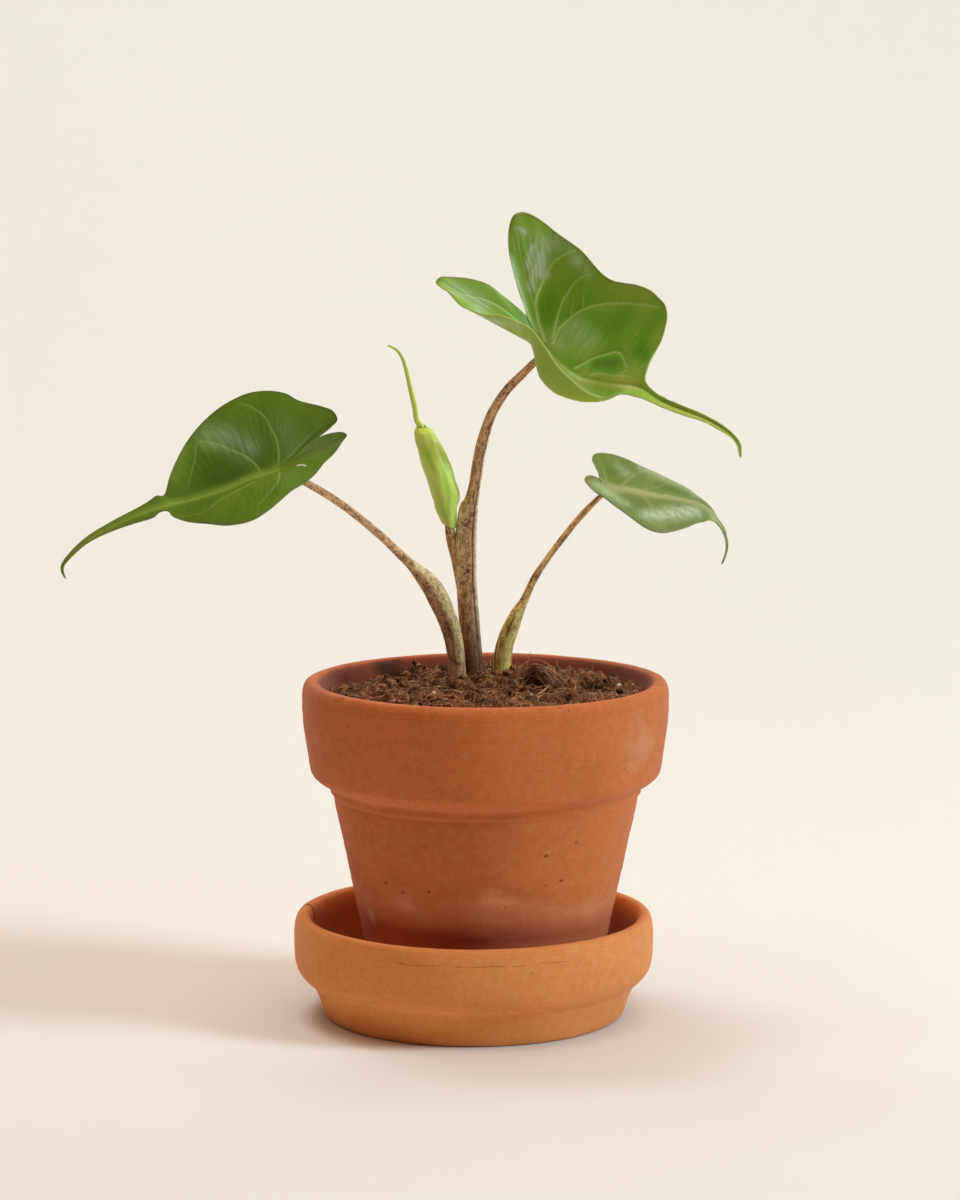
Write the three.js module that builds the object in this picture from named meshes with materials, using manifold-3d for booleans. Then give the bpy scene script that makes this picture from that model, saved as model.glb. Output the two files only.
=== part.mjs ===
// Potted stingray alocasia: three long-tailed leaves and one rolled new leaf on
// fleshy stalks, standing in a filled terracotta pot on its saucer.
// Millimetres, +Z up. The origin is the centre of the saucer's underside, and
// the front of the plant faces -Y.
import * as THREE from "three";
import { mergeVertices } from "three/addons/utils/BufferGeometryUtils.js";
import Module from "manifold-3d";

const wasm = await Module();
wasm.setup();

// Driving dimensions
const POT_X = 4.2; // the pot stands a little off the saucer's centre
const POT_RIM_R = 65.2;
const POT_TOP = 120.6;
const POT_BASE = 6.3;
const POT_WALL = 5.5;
const POT_FLOOR = 6.7;
const DRAIN_R = 7;
const SAUCER_RIM_R = 64.4;
const SAUCER_TOP = 36.5;
const SAUCER_FLOOR = 6;
const FIT = 0.3; // clearance between pieces that touch
const TURNS = 40; // facets round the pot and the saucer
const BLADE_EDGE = 0.7; // blade thickness at the margin
const BLADE_RIB = 1.6; // blade thickness over the midrib
const TAIL_TAPER = 5; // the midrib thins out over these last spine stations, and to the notch
const EVEN_ROUNDS = 6; // rounds of smoothing for a blade's normals
const FAN_SPLIT = 2; // rows for each edge station round the junction
const STALK_FOOT = 101; // how deep the stalks stand in the soil

const plant = new THREE.Group();

function addPiece(name, geometry, colour, roughness) {
  const material = new THREE.MeshStandardMaterial({ color: colour, roughness, metalness: 0 });
  const mesh = new THREE.Mesh(geometry, material);
  mesh.name = name;
  plant.add(mesh);
  return mesh;
}

// Solids for the joins and cuts
function toSolid(geometry) {
  const bare = geometry.clone();
  bare.deleteAttribute("normal");
  bare.deleteAttribute("uv");
  const merged = mergeVertices(bare, 1e-4);
  return new wasm.Manifold(
    new wasm.Mesh({
      numProp: 3,
      vertProperties: new Float32Array(merged.attributes.position.array),
      triVerts: new Uint32Array(merged.index.array),
    }),
  );
}

function toGeometry(solid) {
  const mesh = solid.getMesh();
  const geometry = new THREE.BufferGeometry();
  geometry.setAttribute("position", new THREE.BufferAttribute(mesh.vertProperties, 3));
  geometry.setIndex(new THREE.BufferAttribute(mesh.triVerts, 1));
  geometry.computeVertexNormals();
  return geometry;
}

function indexed(points, faces) {
  const geometry = new THREE.BufferGeometry();
  geometry.setFromPoints(points);
  geometry.setIndex(faces);
  geometry.computeVertexNormals();
  return geometry;
}

// Pot and saucer: turned shapes
function turned(profile, x) {
  const points = profile.map(([r, z]) => new THREE.Vector2(r, z));
  const geometry = new THREE.LatheGeometry(points, TURNS);
  geometry.rotateX(Math.PI / 2);
  geometry.translate(x, 0, 0);
  return geometry;
}

const saucerProfile = [
  [0, 0],
  [51.8, 0],
  [53.4, 0.4],
  [54.2, 2],
  [55.8, 6.7],
  [57.9, 11.1],
  [59, 12.6],
  [61, 14],
  [63.2, 17],
  [64, 20],
  [SAUCER_RIM_R, 27],
  [64.2, 31.7],
  [63.7, 34.6],
  [62.8, 36],
  [61.2, SAUCER_TOP],
  [59.6, 36],
  [58.6, 34.6],
  [58.2, 31],
  [57.3, 21],
  [55, 15.5],
  [51.5, 10.5],
  [49.5, 7.3],
  [46.5, SAUCER_FLOOR],
  [0, SAUCER_FLOOR],
];
addPiece("saucer", turned(saucerProfile, 0), 0xc9794c, 0.85);

// Outer radius of the pot's tapering body, and the wall's inner face
function bodyRadius(z) {
  return 39.2 + 0.21 * (z - 7);
}
function innerRadius(z) {
  return bodyRadius(z) - POT_WALL;
}

const floorTop = POT_BASE + POT_FLOOR;
const potProfile = [
  [DRAIN_R, POT_BASE],
  [37.4, POT_BASE],
  [38.9, 6.9],
  [39.4, 8.4],
  [bodyRadius(27), 27],
  [bodyRadius(46), 46],
  [bodyRadius(64), 64],
  [54.7, 79.8],
  [55.3, 82.8],
  [57.7, 84.2],
  [60, 85.7],
  [61.6, 87.1],
  [62.4, 88.6],
  [63.5, 95.8],
  [64.7, 104.5],
  [POT_RIM_R, 113],
  [65, 117.5],
  [64.6, 118.9],
  [63.7, 120.1],
  [62, POT_TOP],
  [60, POT_TOP - 0.3],
  [58.3, POT_TOP - 1.6],
  [innerRadius(115.5), 115.5],
  [innerRadius(70), 70],
  [innerRadius(floorTop + 3), floorTop + 3],
  [innerRadius(floorTop) - 2.6, floorTop],
  [DRAIN_R, floorTop],
  [DRAIN_R, POT_BASE],
];
addPiece("pot", turned(potProfile, POT_X), 0xb4613a, 0.88);

// Stalks: rings along a smooth centre line. Each station is
// [x, y, z, half width, half depth, fold], where fold deepens the groove that
// the sheath leaves down the stalk.
const STALK_SIDES = 10;
const SHEATH_SIDE = 2; // the ring corner that lies in the sheath's groove

function stalkGeometry(stations, steps, grow) {
  const line = new THREE.CatmullRomCurve3(
    stations.map((s) => new THREE.Vector3(s[0], s[1], s[2])),
    false,
    "centripetal",
  );
  const depthAxis = new THREE.Vector3(0, 1, 0);
  const points = [];
  const faces = [];
  for (let i = 0; i <= steps; i++) {
    const u = i / steps;
    const at = line.getPoint(u);
    const along = line.getTangent(u);
    const wide = new THREE.Vector3().crossVectors(along, depthAxis).normalize();
    const deep = new THREE.Vector3().crossVectors(along, wide).normalize();
    const k = Math.min(u * (stations.length - 1), stations.length - 1.001);
    const a = stations[Math.floor(k)];
    const b = stations[Math.floor(k) + 1];
    const mix = k - Math.floor(k);
    const halfWide = a[3] + (b[3] - a[3]) * mix + grow;
    const halfDeep = a[4] + (b[4] - a[4]) * mix + grow;
    const fold = a[5] + (b[5] - a[5]) * mix;
    for (let j = 0; j < STALK_SIDES; j++) {
      const turn = (2 * Math.PI * j) / STALK_SIDES;
      const pinch = j === SHEATH_SIDE ? 1 - fold : 1;
      const p = at.clone();
      p.addScaledVector(wide, Math.cos(turn) * halfWide * pinch);
      p.addScaledVector(deep, Math.sin(turn) * halfDeep * pinch);
      points.push(p);
    }
  }
  const last = steps * STALK_SIDES;
  for (let i = 0; i < steps; i++) {
    for (let j = 0; j < STALK_SIDES; j++) {
      const next = (j + 1) % STALK_SIDES;
      const a = i * STALK_SIDES + j;
      const b = i * STALK_SIDES + next;
      faces.push(a, b, a + STALK_SIDES);
      faces.push(b, b + STALK_SIDES, a + STALK_SIDES);
    }
  }
  for (let j = 1; j < STALK_SIDES - 1; j++) {
    faces.push(0, j + 1, j);
    faces.push(last, last + j, last + j + 1);
  }
  return indexed(points, faces);
}

const stalkLeft = [
  [-6, 10.5, STALK_FOOT, 2.8, 2.6, 0.1],
  [-6, 10.5, 121.5, 3.1, 2.7, 0.15],
  [-6.7, 10.5, 130, 3.2, 2.7, 0.2],
  [-8.6, 9.5, 138.5, 3.5, 2.7, 0.25],
  [-10.6, 8, 144, 3.7, 2.6, 0.3],
  [-14, 5.5, 151.5, 3.7, 2.5, 0.35],
  [-16.7, 4, 155.5, 3.3, 2.3, 0.35],
  [-19.2, 2.5, 158.5, 2.7, 2, 0.25],
  [-22, 0.5, 161.5, 1.9, 1.7, 0.1],
  [-26, -4, 166, 1.6, 1.6, 0],
  [-32.5, -9, 173, 1.45, 1.45, 0],
  [-45, -18, 184.5, 1.35, 1.35, 0],
  [-57, -24, 193, 1.3, 1.3, 0],
  [-68, -27, 198.5, 1.1, 1.1, 0],
];
const stalkCentre = [
  [-0.3, 17.5, STALK_FOOT, 3.6, 3, 0.1],
  [-0.5, 17.5, 121, 3.8, 3.1, 0.15],
  [-1, 17.5, 129, 3.8, 3.1, 0.15],
  [-1.5, 17, 137.5, 3.7, 3, 0.2],
  [-2.2, 16, 146, 3.7, 2.9, 0.2],
  [-2.7, 15, 155, 3.7, 2.8, 0.25],
  [-3, 13.5, 168, 3.9, 2.7, 0.3],
  [-2.5, 12.5, 175, 3.7, 2.6, 0.3],
  [-1.8, 11.5, 180.5, 3.3, 2.5, 0.2],
  [-0.8, 11, 183.5, 2.6, 2.3, 0.1],
  [0.3, 10, 189, 2.2, 2.1, 0],
  [1.8, 8, 199, 2.1, 2, 0],
  [3.6, 4.5, 207, 2, 1.95, 0],
  [6.6, -1, 216, 1.75, 1.75, 0],
  [12, -8, 225, 1.6, 1.6, 0],
  [16.5, -13, 230, 1.5, 1.5, 0],
  [21.5, -18.5, 235.5, 1.3, 1.3, 0],
  [25.5, -22, 239.5, 1.1, 1.1, 0],
];
const stalkRight = [
  [9.5, 25, STALK_FOOT, 2.8, 2.6, 0.1],
  [10.2, 25, 120, 3.3, 2.7, 0.15],
  [10.8, 25, 127.5, 3.3, 2.7, 0.25],
  [12, 25, 132, 3.1, 2.6, 0.3],
  [13.6, 25, 136, 2.9, 2.4, 0.3],
  [15.5, 25.5, 140.5, 2.4, 2.1, 0.2],
  [18, 26, 145, 1.6, 1.6, 0.1],
  [22, 27, 153.5, 1.3, 1.35, 0],
  [29, 29, 163.5, 1.15, 1.15, 0],
  [38, 32, 174.5, 1.15, 1.15, 0],
  [45, 34, 181.5, 1, 1, 0],
  [49.5, 35, 185.5, 0.9, 0.9, 0],
];

// Leaf blades. The spine runs from the notch between the two basal lobes
// through the point where the stalk joins (station 1) to the tip of the tail.
// Each edge station is [x, y, z, spine station it springs from, sag], where
// sag hollows the blade between spine and edge.
const stingrayLeft = {
  spine: [
    [-57.5, -23, 207],
    [-68, -27, 198.5],
    [-76, -29, 196],
    [-84.5, -31, 192.5],
    [-91.5, -32.5, 190.5],
    [-99, -34, 188.5],
    [-105, -35.5, 187.5],
    [-114, -37, 185],
    [-125, -38.5, 180],
    [-134, -39.5, 175],
    [-140, -40, 169],
    [-142, -40, 166],
    [-140.5, -40, 162],
  ],
  far: [
    [-57.5, -23, 207, 0, 0],
    [-52.5, -19.8, 210.8, 0.4, 0],
    [-49.5, -18, 212.7, 0.8, 0],
    [-47.5, -16.5, 214.7, 1, 0.3],
    [-49, -15.5, 217.8, 1, 0.8],
    [-53, -15, 219.4, 1, 1],
    [-61, -15.5, 221.5, 1, 1.5],
    [-65.5, -16, 224, 1, 1.5],
    [-72, -16.5, 225, 1, 1.5],
    [-79, -17, 224, 1.3, 1.2],
    [-86.5, -18.5, 220.5, 1.8, 1.2],
    [-92.5, -20.5, 216, 2.3, 1],
    [-98, -24, 210, 3, 1],
    [-102, -27.5, 203.5, 3.9, 0.8],
    [-105, -31, 196.5, 4.9, 0.5],
    [-107, -34, 190, 6, 0],
    [-109, -35, 190.5, 6.3, 0],
    [-113, -36, 188, 7, 0],
    [-125, -38, 182, 8, 0],
    [-134, -39, 176.5, 9, 0],
    [-140.5, -40, 170, 10, 0],
    [-142.5, -40, 166, 11, 0],
    [-140.5, -40, 162, 12, 0],
  ],
  near: [
    [-57.5, -23, 207, 0, 0],
    [-53.5, -23, 209.5, 0.4, 0],
    [-48.5, -22.5, 211, 0.8, 0],
    [-45, -22.5, 211, 1, 0],
    [-44, -22.5, 210, 1, 0],
    [-45.5, -23.5, 208, 1, 0.3],
    [-48, -26, 204.5, 1, 0.6],
    [-51.5, -30, 201.5, 1, 1],
    [-54.5, -35, 198, 1, 1],
    [-58, -40, 195.5, 1, 1],
    [-62, -44.5, 193.5, 1, 1],
    [-66, -50, 190.5, 1, 1],
    [-70, -54, 187.5, 1.3, 1],
    [-75.5, -57, 184.5, 1.8, 1],
    [-83, -57, 183, 2.5, 0.8],
    [-90.5, -53, 183, 3.4, 0.6],
    [-98, -47, 183, 4.6, 0.4],
    [-104, -41, 184.5, 5.7, 0],
    [-104.5, -39.5, 185.5, 6, 0],
    [-107.5, -38.5, 185.5, 6.3, 0],
    [-110, -40, 183.5, 6.6, 0],
    [-114, -40.5, 182, 7, 0],
    [-124.5, -41, 178.5, 8, 0],
    [-133.5, -41, 174, 9, 0],
    [-139, -41, 168.5, 10, 0],
    [-141, -40.5, 166, 11, 0],
    [-140.5, -40, 162, 12, 0],
  ],
};
const stingrayTop = {
  spine: [
    [18.5, -20, 251],
    [25.5, -22, 239.5],
    [35.5, -32, 232],
    [45, -41, 230],
    [56, -50, 229],
    [63, -54, 225],
    [71, -58, 222],
    [78, -61, 219.5],
    [84.5, -63, 216],
    [89, -64, 211.5],
    [90, -64, 206.5],
  ],
  far: [
    [18.5, -20, 251, 0, 0],
    [16.5, -16, 257.5, 0.3, 0],
    [14.5, -12, 264, 0.6, 0.4],
    [12.5, -9, 271, 0.8, 0.8],
    [12, -7, 277, 1, 1],
    [12.5, -6, 282, 1, 1.2],
    [14, -6, 285.5, 1, 1.4],
    [17, -6, 286.5, 1, 1.5],
    [20.5, -7, 285.5, 1, 1.6],
    [24.5, -8, 283, 1, 1.8],
    [29, -10, 279.5, 1, 2],
    [37.5, -17, 273.5, 1.1, 2.2],
    [41.5, -21, 269, 1.2, 2.4],
    [45, -25, 265.5, 1.4, 2.4],
    [48, -28, 264, 1.6, 2.2],
    [51, -31, 263.5, 1.8, 2],
    [55.5, -35, 263, 2.1, 2],
    [60, -38, 261.5, 2.5, 1.8],
    [63, -41, 259, 2.8, 1.6],
    [65.2, -42.7, 256.5, 3, 1.5],
    [65.8, -44, 252.5, 3.2, 1.4],
    [65, -45, 248.5, 3.4, 1.2],
    [63.5, -46, 244, 3.6, 0.8],
    [61, -47, 240, 3.8, 0.4],
    [59, -48.5, 236, 4, 0],
    [58.2, -49.8, 231.4, 4.2, 0],
    [63, -53.5, 227, 5, 0],
    [69.5, -57, 224.5, 5.8, 0],
    [78, -60.5, 221.5, 6.9, 0],
    [84.5, -63, 218, 7.9, 0],
    [90, -64, 213.5, 8.8, 0],
    [91.5, -64, 210.5, 9.4, 0],
    [90, -64, 206.5, 10, 0],
  ],
  near: [
    [18.5, -20, 251, 0, 0],
    [16, -20, 253.5, 0.3, 0],
    [10.5, -20, 258, 0.7, 0],
    [4.5, -21, 262.5, 1, 0.5],
    [-2.5, -22, 264.5, 1, 0.5],
    [-9, -23, 265, 1, 0.5],
    [-11.5, -24, 265, 1, 0.5],
    [-13, -25, 263.5, 1, 0.5],
    [-11.5, -26.5, 262, 1, 0.5],
    [-9, -28, 260.5, 1, 0.6],
    [-7, -30, 258.5, 1, 0.6],
    [-4.5, -32, 256, 1, 0.4],
    [0, -35, 254, 1, 0.6],
    [4, -38, 253, 1, 1],
    [9, -40, 253, 1, 1.8],
    [13.5, -42, 251.5, 1, 2.6],
    [19, -44, 249, 1, 3.4],
    [24.5, -46, 242.5, 1.2, 6],
    [28.5, -48, 236.5, 1.4, 8.2],
    [32.5, -50, 232.5, 1.7, 8.6],
    [39, -52, 227.5, 2.3, 6.2],
    [45, -54, 226, 2.9, 3.4],
    [50, -55, 227.5, 3.5, 1.2],
    [56.5, -56, 226, 4.2, 0],
    [63.5, -58.5, 223, 5, 0],
    [71, -61, 220, 6, 0],
    [78.5, -63, 217.5, 7, 0],
    [84, -65, 214.5, 8, 0],
    [88.5, -64.7, 211.5, 8.8, 0],
    [90, -64, 206.5, 10, 0],
  ],
};
const stingrayRight = {
  spine: [
    [45.5, 36, 188.5],
    [49.5, 35, 185.5],
    [57, 34, 184.5],
    [64, 33, 183],
    [71.5, 32, 182],
    [79, 31, 180.5],
    [84, 30, 178.5],
    [88, 29, 174.5],
    [91, 28.5, 169],
    [91.5, 28, 163.5],
    [89.5, 28, 158],
  ],
  far: [
    [45.5, 36, 188.5, 0, 0],
    [45, 38.5, 190.5, 0.5, 0],
    [44, 41.5, 193, 0.9, 0],
    [43, 44, 194.5, 1, 0],
    [43.5, 46.5, 196, 1, 0.2],
    [45.5, 48.5, 196.5, 1, 0.4],
    [50, 50, 196, 1, 0.6],
    [53.5, 50, 195, 1, 0.6],
    [57.5, 49.5, 194, 1.1, 0.8],
    [61, 48.5, 192, 1.4, 0.8],
    [66.5, 46.5, 189.5, 2, 0.8],
    [72, 44, 187, 2.8, 0.6],
    [77.5, 41, 184.5, 3.6, 0.5],
    [81, 38.5, 182, 4.3, 0.3],
    [84, 35.5, 180, 5, 0],
    [87, 32.5, 177, 5.7, 0],
    [89.5, 31, 173.5, 6.6, 0],
    [91.5, 30, 170, 7.4, 0],
    [92.5, 29, 166.5, 8.2, 0],
    [92.5, 28.5, 163.5, 8.9, 0],
    [91.5, 28, 160.5, 9.5, 0],
    [89.5, 28, 158, 10, 0],
  ],
  near: [
    [45.5, 36, 188.5, 0, 0],
    [43, 36.5, 189.5, 0.5, 0],
    [41, 36, 189.5, 0.9, 0],
    [40, 35, 188.5, 1, 0],
    [40.5, 33.5, 187.5, 1, 0],
    [42, 31, 186, 1, 0.2],
    [44, 28, 184.5, 1, 0.4],
    [47, 25.5, 183, 1, 0.6],
    [50.5, 22, 180.5, 1, 0.6],
    [54.5, 19, 178, 1.2, 0.6],
    [58, 17, 175.5, 1.5, 0.6],
    [61, 15.5, 173.5, 1.9, 0.6],
    [64.5, 14.5, 172, 2.3, 0.5],
    [68, 14.5, 171.5, 2.8, 0.4],
    [71.5, 15.5, 172, 3.3, 0.3],
    [76.5, 18.5, 173, 4.1, 0.2],
    [80, 21.5, 174, 4.8, 0],
    [84, 25, 174, 5.8, 0],
    [87, 26.5, 172, 6.6, 0],
    [89, 27, 169, 7.4, 0],
    [90, 27, 164.5, 8.6, 0],
    [89.5, 28, 158, 10, 0],
  ],
};

function curveOf(stations) {
  return new THREE.CatmullRomCurve3(
    stations.map((s) => new THREE.Vector3(s[0], s[1], s[2])),
    false,
    "centripetal",
  );
}

function valueAt(stations, column, place) {
  const low = Math.min(Math.floor(place), stations.length - 2);
  const mix = place - low;
  return stations[low][column] * (1 - mix) + stations[low + 1][column] * mix;
}

// The spine stations at which both halves have a row, so that they meet point
// for point; no two lie further apart than the given step.
function sharedRows(leaf, step) {
  const last = leaf.spine.length - 1;
  const found = [...leaf.near, ...leaf.far].map((s) => s[3]).filter((k) => k !== 1);
  const sorted = [...new Set(found)].sort((p, q) => p - q);
  const rows = [];
  sorted.forEach((k, i) => {
    rows.push(k);
    const next = k < 1 ? Math.min(sorted[i + 1], 1) : sorted[i + 1];
    if (k === last) return;
    const parts = Math.ceil((next - k) / step - 1e-6);
    for (let n = 1; n < parts; n++) rows.push(k + ((next - k) * n) / parts);
  });
  return rows;
}

// Places along an edge for those rows, with a fan of rows round the junction
function edgePlaces(edge, rows, split) {
  const first = edge.findIndex((s) => s[3] === 1);
  const last = edge.findLastIndex((s) => s[3] === 1);
  const places = [];
  function placeOf(k) {
    for (let i = 0; i + 1 < edge.length; i++) {
      const a = edge[i][3];
      const b = edge[i + 1][3];
      if (b > a && k >= a && k <= b) return i + (k - a) / (b - a);
    }
    return edge.length - 1;
  }
  for (const k of rows) if (k < 1) places.push([placeOf(k), k]);
  for (let i = 0; i <= (last - first) * split; i++) places.push([first + i / split, 1]);
  for (const k of rows) if (k > 1) places.push([placeOf(k), k]);
  return places;
}

// Points of one half of a blade, row by row from the notch to the tail, each
// row running across from the spine to the edge.
function halfBlade(spine, edge, places, across, side) {
  const spineCurve = curveOf(spine);
  const edgeCurve = curveOf(edge);
  const last = edge.length - 1;
  const rows = [];
  for (const [place, station] of places) {
    const margin = edgeCurve.getPoint(place / last);
    const root = spineCurve.getPoint(station / (spine.length - 1));
    const sag = valueAt(edge, 4, place);
    const ahead = edgeCurve.getPoint(Math.min(place + 0.8, last) / last);
    const behind = edgeCurve.getPoint(Math.max(place - 0.8, 0) / last);
    const rib = new THREE.Vector3().subVectors(margin, root);
    const up = new THREE.Vector3().subVectors(ahead, behind).cross(rib);
    up.normalize().multiplyScalar(side);
    const row = [];
    for (let j = 0; j <= across; j++) {
      const t = j / across;
      const p = root.clone().addScaledVector(rib, t);
      p.addScaledVector(up, -4 * sag * t * (1 - t));
      row.push(p);
    }
    rows.push(row);
  }
  return rows;
}

// A sheet's normals, evened out with those of the neighbours, so that the two
// faces of a blade stay apart where it turns sharply.
function evenNormals(attribute, faces) {
  const normals = [];
  for (let i = 0; i < attribute.count; i++) {
    normals.push(new THREE.Vector3().fromBufferAttribute(attribute, i));
  }
  for (let round = 0; round < EVEN_ROUNDS; round++) {
    const sums = normals.map((n) => n.clone());
    faces.forEach((here, k) => {
      const next = faces[k % 3 === 2 ? k - 2 : k + 1];
      sums[here].add(normals[next]);
      sums[next].add(normals[here]);
    });
    sums.forEach((sum, i) => normals[i].copy(sum).normalize());
  }
  return normals;
}

// A blade: both halves as one sheet, then thickened along its own normals so
// that both faces are split into triangles alike.
function bladeGeometry(leaf, across, step, extra) {
  const shared = sharedRows(leaf, step);
  const nearPlaces = edgePlaces(leaf.near, shared, FAN_SPLIT);
  const farPlaces = edgePlaces(leaf.far, shared, FAN_SPLIT);
  const points = [];
  const thickness = [];
  const faces = [];
  const known = new Map();
  function vertex(p, t, station) {
    const key = [p.x, p.y, p.z].map((v) => v.toFixed(3)).join(" ");
    if (!known.has(key)) {
      const taper = Math.min(1, station, (leaf.spine.length - 1 - station) / TAIL_TAPER);
      known.set(key, points.length);
      points.push(p);
      thickness.push(BLADE_EDGE + (BLADE_RIB - BLADE_EDGE) * taper * (1 - t) ** 3 + extra);
    }
    return known.get(key);
  }
  function face(a, b, c) {
    if (a !== b && b !== c && c !== a) faces.push(a, b, c);
  }
  const halves = [
    [leaf.near, nearPlaces, -1, true],
    [leaf.far, farPlaces, 1, false],
  ];
  for (const [edge, places, side, flip] of halves) {
    const rows = halfBlade(leaf.spine, edge, places, across, side);
    const ids = rows.map((row, i) => row.map((p, j) => vertex(p, j / across, places[i][1])));
    for (let i = 0; i + 1 < ids.length; i++) {
      for (let j = 0; j < across; j++) {
        const a = ids[i][j];
        const b = ids[i + 1][j];
        const c = ids[i + 1][j + 1];
        const d = ids[i][j + 1];
        if (flip) {
          face(a, c, b);
          face(a, d, c);
        } else {
          face(a, b, c);
          face(a, c, d);
        }
      }
    }
  }
  const normals = evenNormals(indexed(points, faces).getAttribute("normal"), faces);
  const count = points.length;
  const shell = [];
  for (const way of [1, -1]) {
    for (let i = 0; i < count; i++) {
      shell.push(points[i].clone().addScaledVector(normals[i], (way * thickness[i]) / 2));
    }
  }
  const all = [];
  const open = new Map();
  for (let k = 0; k < faces.length; k += 3) {
    const tri = [faces[k], faces[k + 1], faces[k + 2]];
    all.push(tri[0], tri[1], tri[2]);
    all.push(tri[0] + count, tri[2] + count, tri[1] + count);
    for (let e = 0; e < 3; e++) {
      const a = tri[e];
      const b = tri[(e + 1) % 3];
      if (open.has(b + "_" + a)) open.delete(b + "_" + a);
      else open.set(a + "_" + b, [a, b]);
    }
  }
  for (const [a, b] of open.values()) {
    all.push(b, a, a + count);
    all.push(b, a + count, b + count);
  }
  return indexed(shell, all);
}

// The new leaf is still rolled: a scroll that narrows up into a curled tail
// and down into its own stalk. Each station is [x, y, z, radius].
const newLeaf = [
  [-4.2, 16.5, 146, 1.5],
  [-5.3, 15.5, 155, 1.6],
  [-6.6, 14.5, 162, 1.65],
  [-7.9, 13.5, 167.5, 1.65],
  [-8.5, 12.5, 172, 1.7],
  [-8.7, 12, 175, 2.4],
  [-9.2, 11.5, 178, 3.1],
  [-9.8, 11, 181.5, 3.9],
  [-9.9, 11, 185, 4.6],
  [-11.2, 11, 189.5, 4.75],
  [-12.8, 11, 194.5, 5],
  [-14.4, 11, 198.5, 4.85],
  [-16, 11, 203, 4.3],
  [-17.2, 11, 205.7, 3.9],
  [-18.2, 11, 208.2, 3.2],
  [-19, 11, 210.3, 2.3],
  [-20.2, 11, 212, 1.2],
  [-21, 10.5, 217, 1],
  [-22.3, 10, 222.5, 1],
  [-23.5, 9.5, 228, 0.95],
  [-24.8, 9, 233, 0.85],
  [-27, 8.5, 237, 0.7],
  [-30.5, 8, 239, 0.45],
];
const SCROLL_SIDES = 11;
const SCROLL_STEP = 0.14; // how far the outer turn stands off the inner one
const SCROLL_START = 2.3; // radians, where the outer turn ends in the open

function scrollGeometry(stations, steps, grow) {
  const line = curveOf(stations);
  const depthAxis = new THREE.Vector3(0, 1, 0);
  const points = [];
  const faces = [];
  for (let i = 0; i <= steps; i++) {
    const u = i / steps;
    const at = line.getPoint(u);
    const along = line.getTangent(u);
    const wide = new THREE.Vector3().crossVectors(along, depthAxis).normalize();
    const deep = new THREE.Vector3().crossVectors(along, wide).normalize();
    const radius = valueAt(stations, 3, u * (stations.length - 1)) + grow;
    for (let j = 0; j < SCROLL_SIDES; j++) {
      const share = j / (SCROLL_SIDES - 1);
      const turn = SCROLL_START + 2 * Math.PI * share * 0.97;
      const r = radius * (1 + SCROLL_STEP * (0.5 - share));
      const p = at.clone();
      p.addScaledVector(wide, Math.cos(turn) * r);
      p.addScaledVector(deep, Math.sin(turn) * r);
      points.push(p);
    }
  }
  const last = steps * SCROLL_SIDES;
  for (let i = 0; i < steps; i++) {
    for (let j = 0; j < SCROLL_SIDES; j++) {
      const next = (j + 1) % SCROLL_SIDES;
      const a = i * SCROLL_SIDES + j;
      const b = i * SCROLL_SIDES + next;
      faces.push(a, b, a + SCROLL_SIDES);
      faces.push(b, b + SCROLL_SIDES, a + SCROLL_SIDES);
    }
  }
  for (let j = 1; j < SCROLL_SIDES - 1; j++) {
    faces.push(0, j + 1, j);
    faces.push(last, last + j, last + j + 1);
  }
  return indexed(points, faces);
}

const ROW_STEP = 0.6;
const leaves = [
  ["left", stingrayLeft, 4, stalkLeft, 30, 0x3f6b2c],
  ["top", stingrayTop, 4, stalkCentre, 36, 0x47752f],
  ["right", stingrayRight, 3, stalkRight, 28, 0x6b9a52],
];
const holes = [];
for (const [name, leaf, across, stations, steps, colour] of leaves) {
  addPiece("leaf_" + name, bladeGeometry(leaf, across, ROW_STEP, 0), colour, 0.45);
  const clear = toSolid(bladeGeometry(leaf, across, ROW_STEP, 2 * FIT));
  let stalk = toSolid(stalkGeometry(stations, steps, 0)).subtract(clear);
  if (name === "top") {
    stalk = stalk.subtract(toSolid(scrollGeometry(newLeaf, 38, FIT)));
  }
  const pieces = stalk.decompose().sort((a, b) => b.volume() - a.volume());
  addPiece("petiole_" + name, toGeometry(pieces[0]), 0xb58a6a, 0.5);
  holes.push(toSolid(stalkGeometry(stations, steps, FIT)));
}
addPiece("leaf_new", scrollGeometry(newLeaf, 38, 0), 0x7fa04a, 0.45);

// Soil: fills the pot up to a low mound round the stalks, with crumbs, white
// grains and coir strands standing out of it.
const SOIL_RINGS = 10;
const SOIL_TURNS = 36;
const soilBottom = floorTop + FIT;

function soilHeight(x, y) {
  const mound = Math.exp(-((x - 2) ** 2 + (y - 14) ** 2) / (2 * 26 ** 2));
  const rough =
    0.8 * Math.sin(x * 0.41 + 1.2 * Math.sin(y * 0.23)) * Math.cos(y * 0.37 + 0.8) +
    0.5 * Math.sin(x * 0.83 + y * 0.61) +
    0.4 * Math.cos(x * 0.27 - y * 0.97);
  const hump = 2.6 * Math.exp(-((x - 24) ** 2 + (y - 24) ** 2) / 90);
  const hollow = 3.2 * Math.exp(-((x + 33) ** 2 + (y - 24) ** 2) / 110);
  return 115.4 - 1.6 * (y / 56) + 3.4 * mound + rough + hump - hollow;
}

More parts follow.
